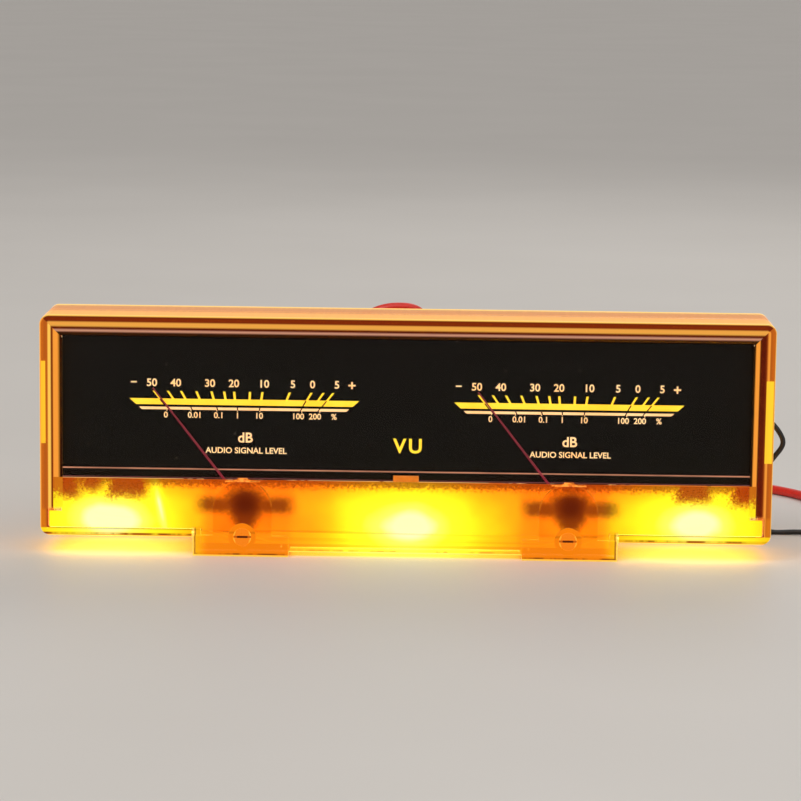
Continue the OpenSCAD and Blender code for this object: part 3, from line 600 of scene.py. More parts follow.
# stripes of painted light and shade on the cover's front by their distance from the outline: edge line, wall,
# its inner edge, gap, rib
TOP_STRIPES = [
    (0.0, *EDGE_LINE), (0.1, *EDGE_LINE), (0.35, *BROWN), (1.3, *BROWN), (1.65, *GOLD), (2.35, *GOLD),
    (2.75, *DEEP), (3.0, *DEEP), (3.45, *PALE), (3.9, *UNLIT),
]
LEFT_STRIPES = [
    (0.0, *EDGE_LINE), (0.2, *ORANGE), (0.45, *AMBER), (1.7, *AMBER), (2.0, *LIGHT), (2.35, *LIGHT),
    (2.68, *BROWN), (2.9, *BROWN), (3.12, *ORANGE), (4.0, *ORANGE), (4.6, *UNLIT),
]
RIGHT_STRIPES = [
    (0.0, *EDGE_LINE), (0.3, *AMBER), (1.2, *AMBER), (1.45, *ORANGE), (1.65, *ORANGE), (2.1, *BROWN),
    (2.5, *DEEP), (3.5, *DEEP), (3.75, *ORANGE), (4.4, *ORANGE), (4.7, *UNLIT),
]


def wall_stripes(net, place, z, right, edge, by_side, passed):
    """The wall, the rib round the dial and the gap between them, as stripes of painted light and shade that
    follow the outline. In the side walls the frosted screen's edge, under painted shade towards its top, and
    the latch window show too, a little differently on the right."""
    side_colour = net.blend(right, stripes(net, edge, LEFT_STRIPES), stripes(net, edge, RIGHT_STRIPES))
    screen = z.fall(17.25, 17.45) * (edge - right * 0.66).step(2.92, 3.02)
    # painted shade: the lamps' light on the screen's edge darkened above a ragged height
    shade_height = z + (net.noise(place, 1500.0, 3.0, 0.75) - 0.5) * 7
    passed_in_shade = net.blend(shade_height.step(12.0, 14.6, 0.0, 0.92), passed, (0.5, 0.12, 0.6, 1), "MULTIPLY")
    side_colour = net.blend(screen, side_colour, passed_in_shade)
    across = edge.step(0.24, 0.36) * (edge - right * 0.65).fall(1.25, 1.37)
    catch = abs(z - (34.4 - right * 2.4)).fall(9.25, 9.45) * across
    side_colour = net.blend(catch, side_colour, net.blend(right, glow(255, 192, 46), glow(255, 206, 48)))
    return net.blend(by_side, stripes(net, edge, TOP_STRIPES), side_colour)


def past_front(net, edge, depth, front, shine):
    """Painted light on the sides and top of the shell, its ribs and the inner side of its wall, seen past the
    front; and the places of the outer skin and of the inner side."""
    skin = edge.fall(0.08, 0.2) * (1 - front)
    # painted light on the outer skin, in bands by depth
    skin_light = stripes(net, depth, [
        (0.3, *EDGE_LINE), (2.0, *WARM), (7.2, *WARM), (8.8, *TAN)], 10.0)
    rib = edge.window(3.1, 4.7, 0.1) * depth.window(2.2, 6.3, 0.1)
    inner = edge.window(1.2, 1.9, 0.1) * depth.step(1.9, 2.2)
    colour = net.blend(rib * 0.8, net.blend(inner * 0.8, BLACK, glow(120, 44, 6)), glow(60, 22, 5))
    return net.blend(skin * shine, colour, skin_light), skin, inner


def raised_edge(net, low, broken, passed):
    """The lower edge of the raised ends as a bright line of painted light, with a broken brown line of dimmer
    painted light over it.
    """
    colour = stripes(net, low, [
        (0.0, *EDGE_LINE), (0.2, *ORANGE), (0.36, *UMBER), (0.68, *UMBER), (0.8, *TAN)])
    above = larger(low.step(0.66, 0.86), broken * low.window(0.3, 0.8, 0.06) * 0.7)
    return net.blend(above, colour, passed)


def foot_front(net, ax, z, lamps, broken, passed):
    """The front of the feet and of the skirt between them, whose lower edge is 0.8 above the feet's: painted
    light, a bright edge and a broken brown line round the lamps' light."""
    outline = smaller(z - ax.step(FOOT_IN, FOOT_IN + 0.1, 0.8, 0.0), FOOT_OUT - 0.05 - ax)
    brown = outline.window(0.34, 0.72, 0.08) * (0.9 - broken * 0.8)
    bright = net.blend(lamps["Level"], glow(255, 196, 64), glow(255, 240, 130))
    return net.blend(outline.fall(0.24, 0.36), net.blend(brown, passed, glow(140, 70, 12)), bright)


def boss_light(net, place, ax, depth, z, colour):
    """The round-topped bosses: only their outline and the stops on top catch the light."""
    ring = abs(away(ax - AXIS_X, z - AXIS_Z) - BOSS_RADIUS).fall(0.1, 0.3)
    ring = ring * depth.fall(-0.1, 0.0) * z.step(AXIS_Z + 0.2, AXIS_Z + 1.0)
    colour = net.blend(ring * 0.2, colour, glow(240, 146, 34))
    tops = z.step(16.9, 17.15) * depth.fall(-0.25, -0.1)
    glint = net.noise(place, 700.0, 2.0, 0.5).step(0.4, 0.6)
    return net.blend(tops * glint.step(0.0, 1.0, 0.25, 0.9), colour, glow(250, 168, 70))


def clear_cover():
    """Clear moulding with painted light at its edges: stripes of painted light and shade on its front, and
    the lamps' light in its feet and skirt. The rest is clear."""
    net, place, (x, ax, depth, z), rim, lamps, shine, raised = shell("clear_cover", (0.14, 0.13, 0.12, 1))
    edge, low, by_side = rim["Edge"], rim["Low"], rim["Side"] < rim["Top"]
    warm = (1.0 / STRENGTH, 0.96 / STRENGTH, 0.8 / STRENGTH, 1)
    passed = net.blend(1.0, lamps["Colour"], warm, "MULTIPLY")
    low_wall = z.fall(9.4, 10.6)
    colour = wall_stripes(net, place, z, x > 0, edge, by_side, passed)
    # painted shade inside the lower wall, and painted light along its edge
    colour = net.blend(low_wall * edge.step(1.5, 1.75), colour, BLACK)
    colour = net.blend(low_wall * edge.window(0.3, 1.3, 0.1), colour, glow(206, 112, 20))
    front = depth.fall(0.3, 0.5)
    reach = 4.66 + by_side * 0.5
    border = front * smaller(edge < reach, larger(edge.fall(1.5, 1.7), 1 - low_wall))
    past, skin, inner = past_front(net, edge, depth, front, shine)
    colour = net.blend(border, past, colour)
    line = front * raised * low.fall(1.6, 1.9)
    broken = net.noise(net.stretch(place, (1, 0.1, 0.1)), 260.0, 3.0, 0.6).step(0.38, 0.6)
    colour = net.blend(line, colour, raised_edge(net, low, broken, passed))
    colour = light_below(net, ax, z, raised, lamps, colour)
    feet = (z - ax.step(45.9, 46.2, 0.0, 0.6)).fall(5.0, 5.9) * (1 - raised)
    bore = front * away(ax - AXIS_X, z - SCREW_Z).fall(3.1, 3.3)
    colour = net.blend(feet * front, colour, foot_front(net, ax, z, lamps, broken, passed))
    # painted light of the lamps round the zero screw's bore
    colour = net.blend(bore * (1 - feet), colour, passed)
    boss = depth.fall(-0.2, -0.1) * z.step(4.4, 5.4)
    base = net.blend(boss, WINDOW_TINT, linear(255, 214, 150))
    base = net.blend(inner * 0.9, base, linear(200, 110, 40))
    base = net.blend(larger(border, line, bore, feet * 0.9), base, (0.004, 0.001, 0.0, 1))
    net.set(Emission_Color=boss_light(net, place, ax, depth, z, colour),
            Base_Color=net.blend(skin * 0.92, base, linear(60, 20, 2)))
    return net.mat


def housing_light(net, ax, depth, z, colour):
    """The movements' housings behind the back plate: light along their corners, a little on their walls."""
    housing = depth.step(CASE_DEPTH + 0.1, CASE_DEPTH + 0.3)
    hull = smaller(HOUSING / 2 - abs(ax - AXIS_X), HOUSING - z, z)
    ends = larger(depth.step(24.5, 24.75) * hull.fall(0.5, 0.75),
                  depth.fall(20.5, 20.9) * hull.fall(0.1, 0.3))
    colour = net.blend(housing * hull.fall(0.05, 0.25) * 0.45, colour, glow(214, 112, 22))
    return net.blend(housing * ends * 0.8, colour, glow(255, 196, 96))


def clear_rear():
    """The rear shell's clear moulding with painted light: bright lines at its edges, an amber wall with a
    painted glow, and light from the lamps in its back plate."""
    net, _, (_, ax, depth, z), rim, lamps, shine, raised = shell("clear_rear", (0.3, 0.28, 0.25, 1))
    edge = smaller(rim["Edge"], larger(rim["Low"], 0) + (1 - raised) * 9)
    skin = edge.fall(0.08, 0.2)
    along = stripes(net, depth - COVER_DEPTH, [
        (0.0, *EDGE_LINE), (0.3, *BROWN), (0.8, *TAN), (3.0, *HONEY), (8.0, *HONEY), (9.3, *EDGE_LINE)], 10.0)
    wall = rim["Edge"].window(0.6, 2.9, 0.1) * depth.window(6.0, 18.4, 0.1)
    plate = depth.window(18.3, 20.2, 0.1)
    colour = net.blend(wall * 0.5, BLACK, glow(120, 44, 6))
    spread = z.bell(7.0, 10.0) * lamps["Level"].step(0.1, 0.7, 0.12, 0.62)
    colour = net.blend(plate * spread, colour, glow(255, 176, 60))
    corner = depth.step(19.5, 19.75) * edge.fall(0.55, 0.8)
    catch = ax.step(81.6, 81.8) * depth.fall(8.7, 8.9)
    colour = net.blend(corner * 0.9, colour, glow(255, 206, 110))
    colour = net.blend(skin * shine, colour, along)
    colour = net.blend(catch, colour, glow(255, 206, 60))
    colour = housing_light(net, ax, depth, z, colour)
    before = depth.fall(CASE_DEPTH + 0.1, CASE_DEPTH + 0.2)
    colour = light_below(net, ax, z, raised, lamps, colour, before)
    base = net.blend(wall * 0.6, linear(255, 232, 190), linear(150, 60, 8))
    net.set(Emission_Color=colour, Base_Color=net.blend(skin * 0.9, base, linear(60, 20, 2)))
    return net.mat


# patches of painted shade on the frosted screen: middle, half the width, and the height they come down to
SHADE_PATCHES = ((-76.4, 2.8, 11.9), (-71.2, 2.6, 13.7), (-63.0, 4.4, 12.4), (64.9, 4.0, 12.9), (76.2, 2.6, 12.2))


def movement_shadow(net, place, x, z):
    """The blurred shadow of each movement, a core with a cone below it and two wings, and its dark heart."""
    beside = abs(x - 0.5) - AXIS_X
    fuzz = (net.noise(place, 1500.0, 3.0, 0.75) - 0.5) * 0.5
    up = z - (AXIS_Z + 0.9)
    across = beside * (1 / 6.8) / up.step(-6.4, 1.0, 0.48, 1.0)
    core = (away(across, up * up.step(-0.1, 0.1, 1 / 9.6, 1 / 4.8)) + fuzz).fall(0.42, 1.1)
    wing = (abs(beside) + fuzz * 5).fall(8.4, 12.6) * (abs(up + 0.4) + fuzz * 3.4).fall(0.5, 3.0)
    return larger(core * 0.86, wing * 0.78), away(beside, up).fall(0.8, 4.0)


def frosted_plastic():
    """Frosted diffuser lit from behind: the lamps' colours as painted light, darkened by speckled brown
    painted shade along its top edge and in patches near its ends, with a pale painted streak of light beside
    the left lamps and the painted shadow of each movement."""
    net, place = surface("frosted_plastic", linear(120, 60, 12), 0.6, Emission_Strength=1.12,
                         Specular_IOR_Level=0.2)
    x, _, z = net.axes(place)
    lamps = net.group(LAMP_GLOW, Vector=place)
    level = lamps["Level"] + (net.noise(place, 70.0, 3.0, 0.5) - 0.5) * 0.34
    streak = (x + (z - 6) * 0.22).bell(-54.4, 1.0) * z.step(4.0, 16.0, 0.25, 0.5)
    colour = net.ramp((level + streak) * z.step(11.5, 16.6, 1.0, 0.66), LAMP_COLOURS)
    speck = net.noise(place, 2000.0, 2.0, 0.75) - 0.5
    rough_z = z + speck * 4.2
    rough_x = x + speck * 6
    near_top = rough_z.step(14.7, 16.6)
    patches = larger(*[
        rough_x.window(middle - half, middle + half, 1.5) * rough_z.step(low - 1.0, low + 2.0)
        for middle, half, low in SHADE_PATCHES])
    moved = net.stretch(place, (1, 1, 1), move=(0.3, 0.1, 0.7))
    dots = larger(net.group(SPECKS, Vector=place, Scale=3900.0, Share=0.5)["Mask"],
                  net.group(SPECKS, Vector=moved, Scale=2900.0, Share=0.45)["Mask"])
    # painted shade: the screen's light darkened near its top edge and in patches near its ends, speckled
    speckled_shade = larger(patches, near_top) * (0.5 + dots * 0.5)
    colour = net.blend(larger(patches, near_top * 0.6), colour, (0.72, 0.2, 0.6, 1), "MULTIPLY")
    colour = net.blend(speckled_shade, colour, (0.06, 0.004, 0.1, 1), "MULTIPLY")
    shade, heart = movement_shadow(net, place, x, z)
    colour = net.blend(shade, colour, (0.11, 0.02, 0.5, 1), "MULTIPLY")
    colour = net.blend(heart * 0.7, colour, (0.26, 0.05, 0.5, 1), "MULTIPLY")
    # painted shade in the base colour too, where the screen's light is darkened
    base = net.blend(larger(speckled_shade, shade), linear(130, 70, 14), linear(40, 14, 8))
    net.set(Emission_Color=colour, Base_Color=base)
    net.bump(net.noise(place, 5200.0, 2.0, 0.6), 0.02)
    return net.mat


def zero_screw_plastic():
    """Clear amber screw with painted light: its rim and the ends of its slot catch the light, and the floor
    of the slot is painted dark as shade."""
    net, place = surface("zero_screw_plastic", linear(64, 26, 5), 0.3, IOR=1.49, Emission_Strength=1.0,
                         Specular_Tint=(0.3, 0.3, 0.3, 1))
    x, depth, z = net.axes(place)
    dx, dz = abs(x) - AXIS_X, z - SCREW_Z
    slot = abs(dz).fall(0.28, 0.32) * depth.window(-1.0, 0.0, 0.1) * abs(dx).fall(1.1, 1.3)
    head = depth.fall(-0.9, -0.7)
    colour = net.blend(head, linear(190, 92, 14), linear(244, 128, 16))
    rim = away(dx, dz).step(1.7, 1.84) * abs(dx).step(1.3, 1.7)
    colour = net.blend(rim * head, colour, linear(255, 176, 50))
    net.set(Emission_Color=net.blend(slot, colour, linear(84, 28, 4)),
            Base_Color=net.blend(slot, linear(64, 26, 5), linear(30, 8, 2)))
    net.grain(place, 2200.0, 0.6, 0.006, 0.24, 0.36)
    return net.mat


def guide_acrylic():
    """Light guide: clear sheet with rows of fine white dots that turn the light out, closer together away
    from the lamps."""
    net, place = surface("guide_acrylic", linear(255, 226, 168), 0.1, Transmission_Weight=0.6, IOR=1.49,
                         Emission_Strength=1.0, Specular_IOR_Level=0.3)
    _, _, z = net.axes(place)
    distance, _ = net.cells(net.stretch(place, (1, 0.05, 1)), 700.0)
    dot = distance.fall(z.step(16.0, 50.0, 0.16, 0.3), z.step(16.0, 50.0, 0.26, 0.42))
    far = z.step(16.0, 50.0, 1.0, 0.35)
    light = net.blend(dot, linear(190, 96, 20), linear(255, 206, 110))
    net.set(Emission_Color=net.blend(far, BLACK, light), Roughness=dot * 0.5,
            Base_Color=net.blend(dot, linear(255, 226, 168), linear(250, 246, 236)))
    net.bump(dot, 0.01)
    return net.mat


def lamp_resin():
    """Lamp: a white body, and on its front a round window of yellow phosphor that shines."""
    net, place = surface("lamp_resin", linear(240, 238, 228), 0.3, Emission_Strength=3.0)
    _, depth, _ = net.axes(place)
    mask = net.grain(place, 2600.0, 0.5, 0.008, 0.22, 0.4)
    phosphor = depth.fall(15.44, 15.5)
    hot = phosphor * mask.step(0.0, 1.0, 0.8, 1.0)
    net.set(Base_Color=net.blend(phosphor, linear(240, 238, 228), linear(250, 206, 60)),
            Emission_Color=net.blend(hot, linear(60, 44, 14), linear(255, 226, 120)))
    return net.mat


def board_white():
    """Lamp board: white solder mask over copper tracks, which stand a little proud and show through it as a
    faint tone."""
    net, place = surface("board_white", linear(226, 226, 214), 0.4)
    x, _, z = net.axes(place)
    row = net.sum("PINGPONG", z + 0.4, 1.3)
    along = net.sum("PINGPONG", x, 4.4)
    track = larger(row.fall(0.28, 0.4), along.fall(0.3, 0.45) * z.window(7.0, 10.8, 0.1))
    grain = net.group(GRAIN, Vector=place, Scale=1900.0, Depth=0.4)
    edge = grain["Mask"].step(0.2, 1.0, 0.9, 1.0)
    tone = net.blend(track, linear(230, 230, 218), linear(206, 212, 190))
    net.set(Base_Color=net.blend(edge, linear(196, 192, 172), tone),
            Roughness=grain["Mask"].step(0.0, 1.0, 0.34, 0.46))
    net.bump(track * 0.7 + grain["Height"] * 0.2, 0.04)
    return net.mat


def dial_black():
    """Black printed dial: fine satin grain, a few specks of dust, and thin lit lines near its edges where
    the guide shows."""
    base = (0.0022, 0.002, 0.0019, 1)
    net, place = surface("dial_black", base, 0.34, Emission_Strength=1.0, Specular_IOR_Level=0.08)
    _, depth, z = net.axes(place)
    net.grain(place, 3600.0, 0.5, 0.0001, 0.33, 0.352)
    dust = net.group(SPECKS, Vector=place, Scale=900.0, Share=0.01)["Mask"]
    face = depth.fall(DIAL_DEPTH + 0.1, DIAL_DEPTH + 0.2)
    waver = net.noise(net.stretch(place, (1, 0.1, 0.1)), 120.0, 3.0, 0.6).step(0.3, 0.7, 0.65, 1.0)
    light = net.blend(z.window(18.5, 18.78, 0.05) * waver * face, BLACK, linear(222, 150, 118))
    light = net.blend(z.window(16.55, 16.72, 0.05) * waver * face, light, linear(132, 76, 76))
    net.set(Emission_Color=light, Base_Color=net.blend(dust, base, (0.06, 0.055, 0.05, 1)))
    return net.mat


# by slot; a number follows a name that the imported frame's own materials have taken
finish = {mat.name.partition(".")[0]: mat for mat in (
    clear_cover(), clear_rear(), frosted_plastic(), dial_black(), board_white(), lamp_resin(),
    zero_screw_plastic(), guide_acrylic(),
    glowing("amber_plastic", (150, 70, 14), (214, 122, 34), 0.35),
    glowing("pointer_red", (120, 24, 40), (112, 24, 44), 0.4),
    lit("mark_yellow", (255, 228, 62), (255, 206, 40)),
    lit("mark_amber", (255, 220, 166), (255, 196, 128)),
    plastic("white_film", (240, 238, 228), 0.55, 1800.0, 0.01, 0.94),
    plastic("chip_black", (40, 40, 44), 0.5, 3500.0, 0.01, 0.8),
    plastic("wire_red", (150, 26, 18), 0.35, 1500.0, 0.01, 0.8),
    plastic("rubber_black", (24, 24, 25), 0.72, 3000.0, 0.02, 0.7),
    plastic("lead_red", (222, 36, 8), 0.34, 1500.0, 0.012, 0.84),
    plastic("lead_dark", (26, 20, 19), 0.36, 1500.0, 0.012, 0.7),
    plastic("chassis_moulding", (48, 30, 22), 0.5, 2200.0, 0.02, 0.75),
    metal("screw_steel", (190, 190, 196), 0.32),
    metal("tinned_copper", (205, 205, 208), 0.3),
    metal("yoke_steel", (150, 150, 156), 0.38),
    metal("magnet_metal", (110, 110, 118), 0.42),
    metal("bridge_metal", (196, 190, 180), 0.34, (0.1, 1, 1)),
    metal("jewel_brass", (212, 176, 92), 0.26),
    metal("terminal_brass", (214, 186, 110), 0.3, (1, 0.1, 1)),
    metal("spring_bronze", (206, 150, 72), 0.3),
    metal("zero_arm_metal", (205, 194, 160), 0.33),
    metal("former_aluminium", (205, 205, 205), 0.36),
    metal("winding_copper", (190, 96, 44), 0.3, (1, 1, 0.02), 5200.0, 0.75, 0.03),
    metal("staff_steel", (186, 186, 194), 0.22),
    metal("weight_brass", (200, 172, 104), 0.3),
)}
slot_of = {row["node"]: row["material_slot"] for row in frame["record"]["subparts"]}
body_of = {name: body for body, names in frame["record"]["behaviour"]["bodies"].items() for name in names}
for name, slot in slot_of.items():
    nodes[name].data.materials.clear()
    nodes[name].data.materials.append(finish[slot])


def soften(node, width):
    """A copy of a CAD node's mesh, its loose triangles merged and flat neighbours joined, with its sharp
    edges rounded."""
    work = bmesh.new()
    work.from_mesh(nodes[node].data)
    bmesh.ops.remove_doubles(work, verts=work.verts, dist=2e-7)
    bmesh.ops.dissolve_limit(work, angle_limit=math.radians(0.4), verts=work.verts, edges=work.edges)
    mesh = bpy.data.meshes.new(node + "_rounded")
    work.to_mesh(mesh)
    work.free()
    mesh.shade_smooth()
    slot = slot_of[node]
    obj = declare(placed(node + "_rounded", mesh), body_of[node], slot, (node,))
    edges = obj.modifiers.new("edges", "BEVEL")
    edges.width, edges.segments, edges.limit_method = width * MM, 2, "ANGLE"
    edges.angle_limit = math.radians(32)
    edges.use_clamp_overlap = False
    flat = obj.modifiers.new("flat_faces", "WEIGHTED_NORMAL")
    flat.mode, flat.weight, flat.keep_sharp = "FACE_AREA", 100, True


# node and the width of its rounded edges
SOFT_EDGES = {
    "front_cover": 0.2, "rear_case": 0.2, "centre_clip": 0.12, "board_resistors": 0.06,
    "frosted_screen": 0.06, "lamp_board_left": 0.06, "lamp_board_centre": 0.06, "lamp_board_right": 0.06,
    "lamps_left": 0.07, "lamps_centre": 0.07, "lamps_right": 0.07,
    "board_screws": 0.05, "movement_screws": 0.07,
}
for side, _ in SIDES:
    for part, width in (
            ("chassis", 0.1), ("front_bridge", 0.09), ("rear_bridge", 0.09), ("yoke", 0.12),
            ("core_magnet", 0.15), ("jewel_screws", 0.04), ("bridge_screws", 0.04), ("terminals", 0.07),
            ("zero_screw", 0.07), ("balance_weights", 0.05), ("coil_former", 0.03)):
        SOFT_EDGES[part + "_" + side] = width
for node, width in SOFT_EDGES.items():
    soften(node, width)

lay_cord("red_lead", RED_POINTS, 1.1, "lead_red")
lay_cord("black_lead", BLACK_POINTS, 0.6, "lead_dark")


# ------------ wires and solder

WIRE_DEPTH, BOARD_FRONT, BOARD_TOP = 15.9, 16.4, 11.5


def wire_routes():
    """Two wires over each movement, the second inside the first, and one down from each lead, as (x, depth,
    z) points."""
    near_x, routes = 8.4, []
    for _, s in SIDES:
        for row in (0, 1):
            side, top, end = 12.9 - 1.3 * row, 22.6 - 1.3 * row, BOARD_TOP - 1.4 * row
            bends = (side + 3, side, side - 4, 4 - side, -side, -side - 3)
            xs = (BOARD_X - near_x, *(AXIS_X + x for x in bends), near_x)
            zs = (end, end + 0.6, top - 6, top, top, top - 6, end + 0.6, end)
            routes.append(np.stack([s * np.array(xs), np.full(8, WIRE_DEPTH), zs], -1))
    for start, end_x in ((RED_POINTS[0], -5.4), (BLACK_POINTS[0], BOARD_X + 4)):
        x, d, z = start[0], start[1] + CASE_DEPTH, start[2]
        middle = ((x + end_x) / 2, WIRE_DEPTH, (z + BOARD_TOP) / 2)
        routes.append(np.array([(x, d, z), (x, d - 1.1, z - 0.4), (x - 0.2, WIRE_DEPTH, z - 3.6), middle,
                                (end_x, WIRE_DEPTH, BOARD_TOP)]))
    return routes


def dome(centre, radius, base):
    """A solder joint: from a flat foot at depth base it rises by its radius, in a hollow and then a round
    curve."""
    t = np.linspace(0, 1, 9)
    r = radius * np.array([1, 0.9, 0.78, 0.68, 0.6, 0.5, 0.38, 0.2, 0])
    curve = np.stack([r, base - radius * np.sin(t * np.pi / 2)], -1)
    return turned(np.vstack([[(0, base)], curve]), centre, 20)


routes = wire_routes()
wires = several([tube(smooth_path(route, 6) + [0, FRONT, 0], 0.44, 12) for route in routes])
add_piece("link_wires_round", wires, "case", "wire_red", stands_for=("link_wires",))
ends = [route[k] for route in routes[:4] for k in (0, -1)] + [route[-1] for route in routes[4:]]
joints = several([dome((x, z), 0.86, BOARD_FRONT) for x, _, z in ends])
add_piece("solder_joints", joints, "case", "tinned_copper")


def grommet(x, z, r):
    """A rubber ring: its profile goes up the bore, over the round rear lip, along the groove, over the
    front lip and back."""
    a = np.linspace(0, np.pi, 9)

    def lip(middle):
        return np.stack([r + 1.3 + 0.4 * np.sin(a), middle - 0.4 * np.cos(a)], -1)

    bore, groove, front, rear = r + 0.03, r + 0.86, CASE_DEPTH - 1.5, CASE_DEPTH
    profile = np.vstack([[(bore, front - 0.8)], lip(front - 0.4), [(groove, front), (groove, rear)],
                         lip(rear + 0.4), [(bore, rear + 0.8), (bore, front - 0.8)]])
    return turned(profile, (x, z), 40)


rings = several([grommet(-9, 47.5, 1.1), grommet(75.6, 31, 0.6)])
add_piece("lead_grommets_lipped", rings, "case", "rubber_black", stands_for=("lead_grommets",))


# ------------ movements

def hairspring(side, s, name, depth, body, tab=None):
    """A flat spiral strip: its radius grows evenly from 0.75 to 2.5 over three and a quarter turns; the
    strip is 0.1 thick outwards and 0.3 wide along the depth. A tab may carry its outer end."""
    inner, outer, turns, steps = 0.75, 2.5, 3.25, 200
    turn = np.linspace(0, 2 * np.pi * turns, steps)[:, None]
    r = inner + (outer - inner) * turn / turn[-1] + np.array([[0, 0.1, 0.1, 0]])
    d = np.broadcast_to(FRONT + depth + np.array([[0, 0, 0.3, 0.3]]), r.shape)
    points = np.stack([s * AXIS_X + r * np.cos(turn), d, AXIS_Z + r * np.sin(turn)], -1).reshape(-1, 3)
    last = 4 * steps - 1
    ends = [[0, 1, 2, 3], [last, last - 1, last - 2, last - 3]]
    faces = grid_faces(steps, 4, True)[:, ::-1].tolist() + ends
    parts = [(points, faces)]
    if tab:
        left, right, low, top = s * AXIS_X - 0.3, s * AXIS_X + 0.3, AXIS_Z + outer, AXIS_Z + outer + 0.5
        parts.append(plates([[(left, low), (right, low), (right, top), (left, top)]], *tab))
    name += "_" + side
    add_piece(name + "_strip", several(parts), body, "spring_bronze", smooth=False, stands_for=(name,))


def coil_winding(side, s):
    """Wire wound round the flat former: a closed path round the core, with a profile across it whose outer
    side has twelve round ridges, one for each turn; then turned to the needle's place at rest."""
    half, low, high, width, thick, ridge, turns = 5.6, 7.95, 15.45, 2.4, 0.45, 0.1, 12
    corner = np.array([(-half, low), (half, low), (half, high), (-half, high)])
    swing = np.linspace(0, np.pi / 2, 6)
    angles = (np.array([-np.pi, -np.pi / 2, 0, np.pi / 2])[:, None] + swing).reshape(-1)
    path = np.repeat(corner, 6, axis=0)
    out = np.stack([np.cos(angles), np.sin(angles)], -1)
    across = np.linspace(-width / 2, width / 2, 8 * turns + 1)
    ridges = thick - ridge * (1 - np.abs(np.sin(np.pi * turns * (across / width + 0.5))))
    z = np.concatenate([across, across[::-1][[0, -1]]])
    h = np.concatenate([ridges, [0.0, 0.0]])
    xd = path[:, None] + out[:, None] * h[None, :, None]
    x, d, up = xd[..., 0], xd[..., 1], np.broadcast_to(z, xd.shape[:2])
    cos, sin = math.cos(NEEDLE_REST), math.sin(NEEDLE_REST)
    points = np.stack([s * AXIS_X + x * cos + up * sin, FRONT + d, AXIS_Z - x * sin + up * cos], -1)
    faces = grid_faces(*xd.shape[:2], True, True)
    shape, name = (points.reshape(-1, 3), faces), "coil_winding_" + side
    add_piece(name + "_turns", shape, "pointer_" + side, "winding_copper", stands_for=(name,))


for side, s in SIDES:
    hairspring(side, s, "front_hairspring", 4.5, "zero_arm_" + side)
    hairspring(side, s, "rear_hairspring", 16.3, "case", (16.3, 17.4))
    coil_winding(side, s)


# ------------ dial

def lettering(name, rows, look, weight=0.026, space=1.0):
    """Figures as flat plates: (text, height, x, z) each. Their place is put into the points: letter x to x,
    letter y to z."""
    parts = []
    for text, height, x, z in rows:
        curve = bpy.data.curves.new(name + "_text", "FONT")
        curve.body, curve.size, curve.extrude, curve.offset = text, height / 0.72, 0.012, weight * height
        curve.align_x, curve.space_character, curve.resolution_u = "CENTER", space, 4
        letters = placed(name + "_text", curve)
        bpy.context.view_layer.update()
        mesh = bpy.data.meshes.new_from_object(letters.evaluated_get(bpy.context.evaluated_depsgraph_get()))
        flat = np.empty(len(mesh.vertices) * 3)
        mesh.vertices.foreach_get("co", flat)
        across, up, out = flat.reshape(-1, 3).T
        points = np.stack([x + across, FRONT + DIAL_DEPTH - 0.014 - out, z - height / 2 + up], -1)
        parts.append((points, [list(p.vertices) for p in mesh.polygons]))
        bpy.data.objects.remove(letters)
        bpy.data.curves.remove(curve)
        bpy.data.meshes.remove(mesh)
    add_piece(name, several(parts), "case", "guide_acrylic", look, smooth=False)


def slanted_band(left, right, top, bottom, breaks, gap):
    """A horizontal band cut by thin breaks that lean towards the pointer's axis; x falls in step with
    height above it."""
    cuts = [(left, left)] + [(b - gap / 2, b + gap / 2) for b in breaks] + [(right, right)]
    lean = (bottom - AXIS_Z) / (top - AXIS_Z)
    return [[(a, top), (a * lean, bottom), (b * lean, bottom), (b, top)]
            for (_, a), (b, _) in zip(cuts[:-1], cuts[1:])]


TICKS = (-20.58, -17.38, -14.39, -10.93, -7.5, -4.63, -2.36, 1.22, 4.05, 10.24, 15.15, 17.87, 20.07)
TICK_TOP, TICK_LOW = 36.5, 34.6
LINE_BREAKS = (-17.6, -12.17, -6.28, -1.61, 3.46, 12.98, 17.06)
# (text, height, x, z), x from the pointer's axis
FIGURES = [
    *((text, 1.75, x, 38.45) for text, x in (
        ("50", -21.0), ("40", -15.57), ("30", -7.87), ("20", -2.43),
        ("10", 4.36), ("5", 10.93), ("0", 15.36), ("5", 20.89))),
    *((text, 1.35, x, 31.1) for text, x in (
        ("0", -17.83), ("0.01", -11.25), ("0.1", -5.81), ("1", -1.59),
        ("10", 3.27), ("100", 12.11), ("200", 15.96), ("%", 20.27))),
    ("\N{MINUS SIGN}", 1.9, -25.09, 38.5), ("+", 2.3, 24.28, 38.3), ("dB", 2.3, 0.2, 26.1),
    ("AUDIO SIGNAL LEVEL", 1.36, 0.4, 23.1),
]


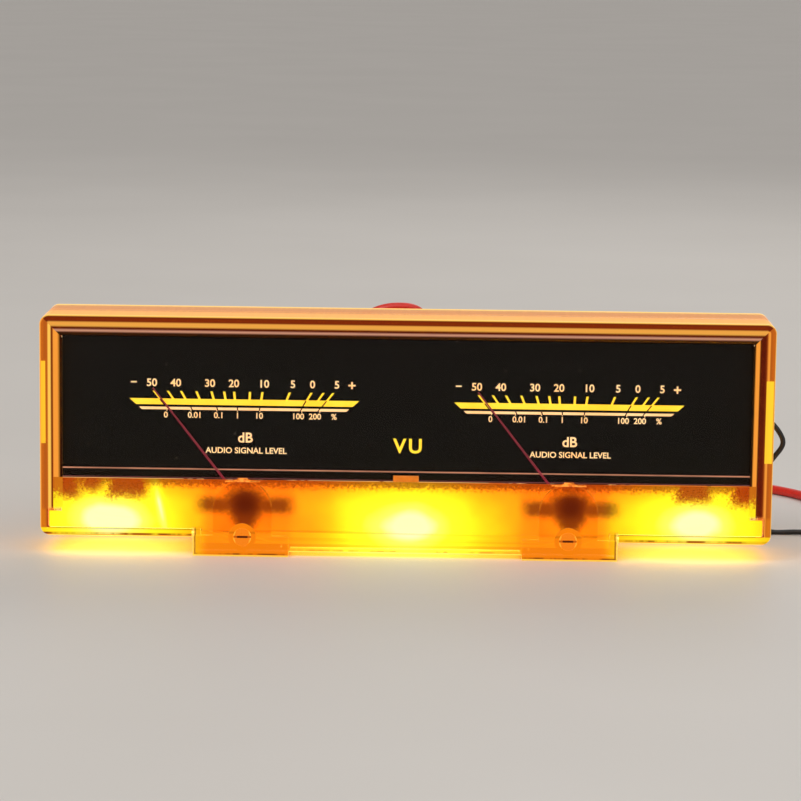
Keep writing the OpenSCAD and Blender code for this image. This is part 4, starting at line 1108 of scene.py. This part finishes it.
def scale_marks(side, s):
    """One lit scale: thick band with ticks, thin band with breaks, and their figures."""
    band = slanted_band(-26.05, 25.95, 34.75, 33.4, [-19.3, 14.0, 18.65], 0.34)
    half = 0.26
    for t in TICKS:
        foot = t * (TICK_LOW - AXIS_Z) / (TICK_TOP - AXIS_Z)
        band.append([(t - half, TICK_TOP), (foot - half, TICK_LOW),
                     (foot + half, TICK_LOW), (t + half, TICK_TOP)])
    line = slanted_band(-23.9, 23.7, 32.85, 32.25, LINE_BREAKS, 0.3)
    line += [[(b - 0.09, 32.2), (b - 0.09, 31.95), (b + 0.09, 31.95), (b + 0.09, 32.2)] for b in LINE_BREAKS]
    for name, quads, look in (("scale_band_", band, "mark_yellow"), ("scale_line_", line, "mark_amber")):
        quads = [[(s * AXIS_X + x, z) for x, z in quad] for quad in quads]
        shape = plates(quads, DIAL_DEPTH - 0.03, DIAL_DEPTH)
        add_piece(name + side, shape, "case", "guide_acrylic", look, smooth=False)
    rows = [(text, height, s * AXIS_X + x, z) for text, height, x, z in FIGURES]
    lettering("scale_figures_" + side, rows, "mark_amber")


for side, s in SIDES:
    scale_marks(side, s)
lettering("unit_mark", [("VU", 3.3, 0.37, 24.7)], "mark_yellow", 0.03, 1.24)


# ------------ floor and light

def lay_floor():
    floor = bpy.data.meshes.new("floor")
    corners = ((-12, -6), (12, -6), (12, 24), (-12, 24))
    floor.from_pydata([(x, y, -0.0001) for x, y in corners], [], [(0, 1, 2, 3)])
    net, place = surface("floor_pale", linear(214, 208, 200), 0.55, Specular_IOR_Level=0.3)
    cloudy = net.noise(place, 9.0, 3.0, 0.5)
    net.set(Base_Color=net.blend(cloudy, linear(210, 204, 196), linear(218, 212, 204)))
    floor.materials.append(net.mat)
    placed("floor", floor)


def hang_lamps():
    """Three soft lamps that face the meter, and a weak sun."""
    for name, energy, size, at in (
            ("key", 2.6, 0.5, (-0.45, -0.55, 0.75)), ("fill", 0.9, 0.6, (0.7, -0.4, 0.4)),
            ("back", 1.2, 0.5, (0.2, 0.7, 0.6))):
        lamp = bpy.data.lights.new(name, "AREA")
        lamp.energy, lamp.size, lamp.shape = energy, size, "DISK"
        holder = placed(name, lamp)
        holder.location = at
        holder.rotation_mode = "QUATERNION"
        holder.rotation_quaternion = (Vector((0, 0, 0.02)) - Vector(at)).to_track_quat("-Z", "Y")
    sun = bpy.data.lights.new("sky_soft", "SUN")
    sun.energy, sun.angle = 1.0, 1.2
    placed("sky_soft", sun).rotation_euler = (0.5, 0.1, 0)


def fill_world():
    """A world that is pale where it is seen and dim where it lights."""
    world = bpy.data.worlds.new("studio")
    bpy.context.scene.world = world
    world.use_nodes = True
    net = Net(world.node_tree)
    net.tree.nodes.clear()
    ray = net.outputs(net.put("ShaderNodeLightPath"))
    seen = larger(ray["Is Camera Ray"], ray["Is Glossy Ray"], ray["Is Transmission Ray"])
    dim = net.call("ShaderNodeBackground", {0: linear(236, 236, 240), 1: 0.32})
    pale = net.call("ShaderNodeBackground", {0: linear(158, 154, 149), 1: 1.0})
    both = net.call("ShaderNodeMixShader", {0: seen, 1: dim, 2: pale})
    net.feed(net.put("ShaderNodeOutputWorld").inputs[0], both)


lay_floor()
hang_lamps()
fill_world()
bpy.context.scene.view_settings.view_transform = "Standard"
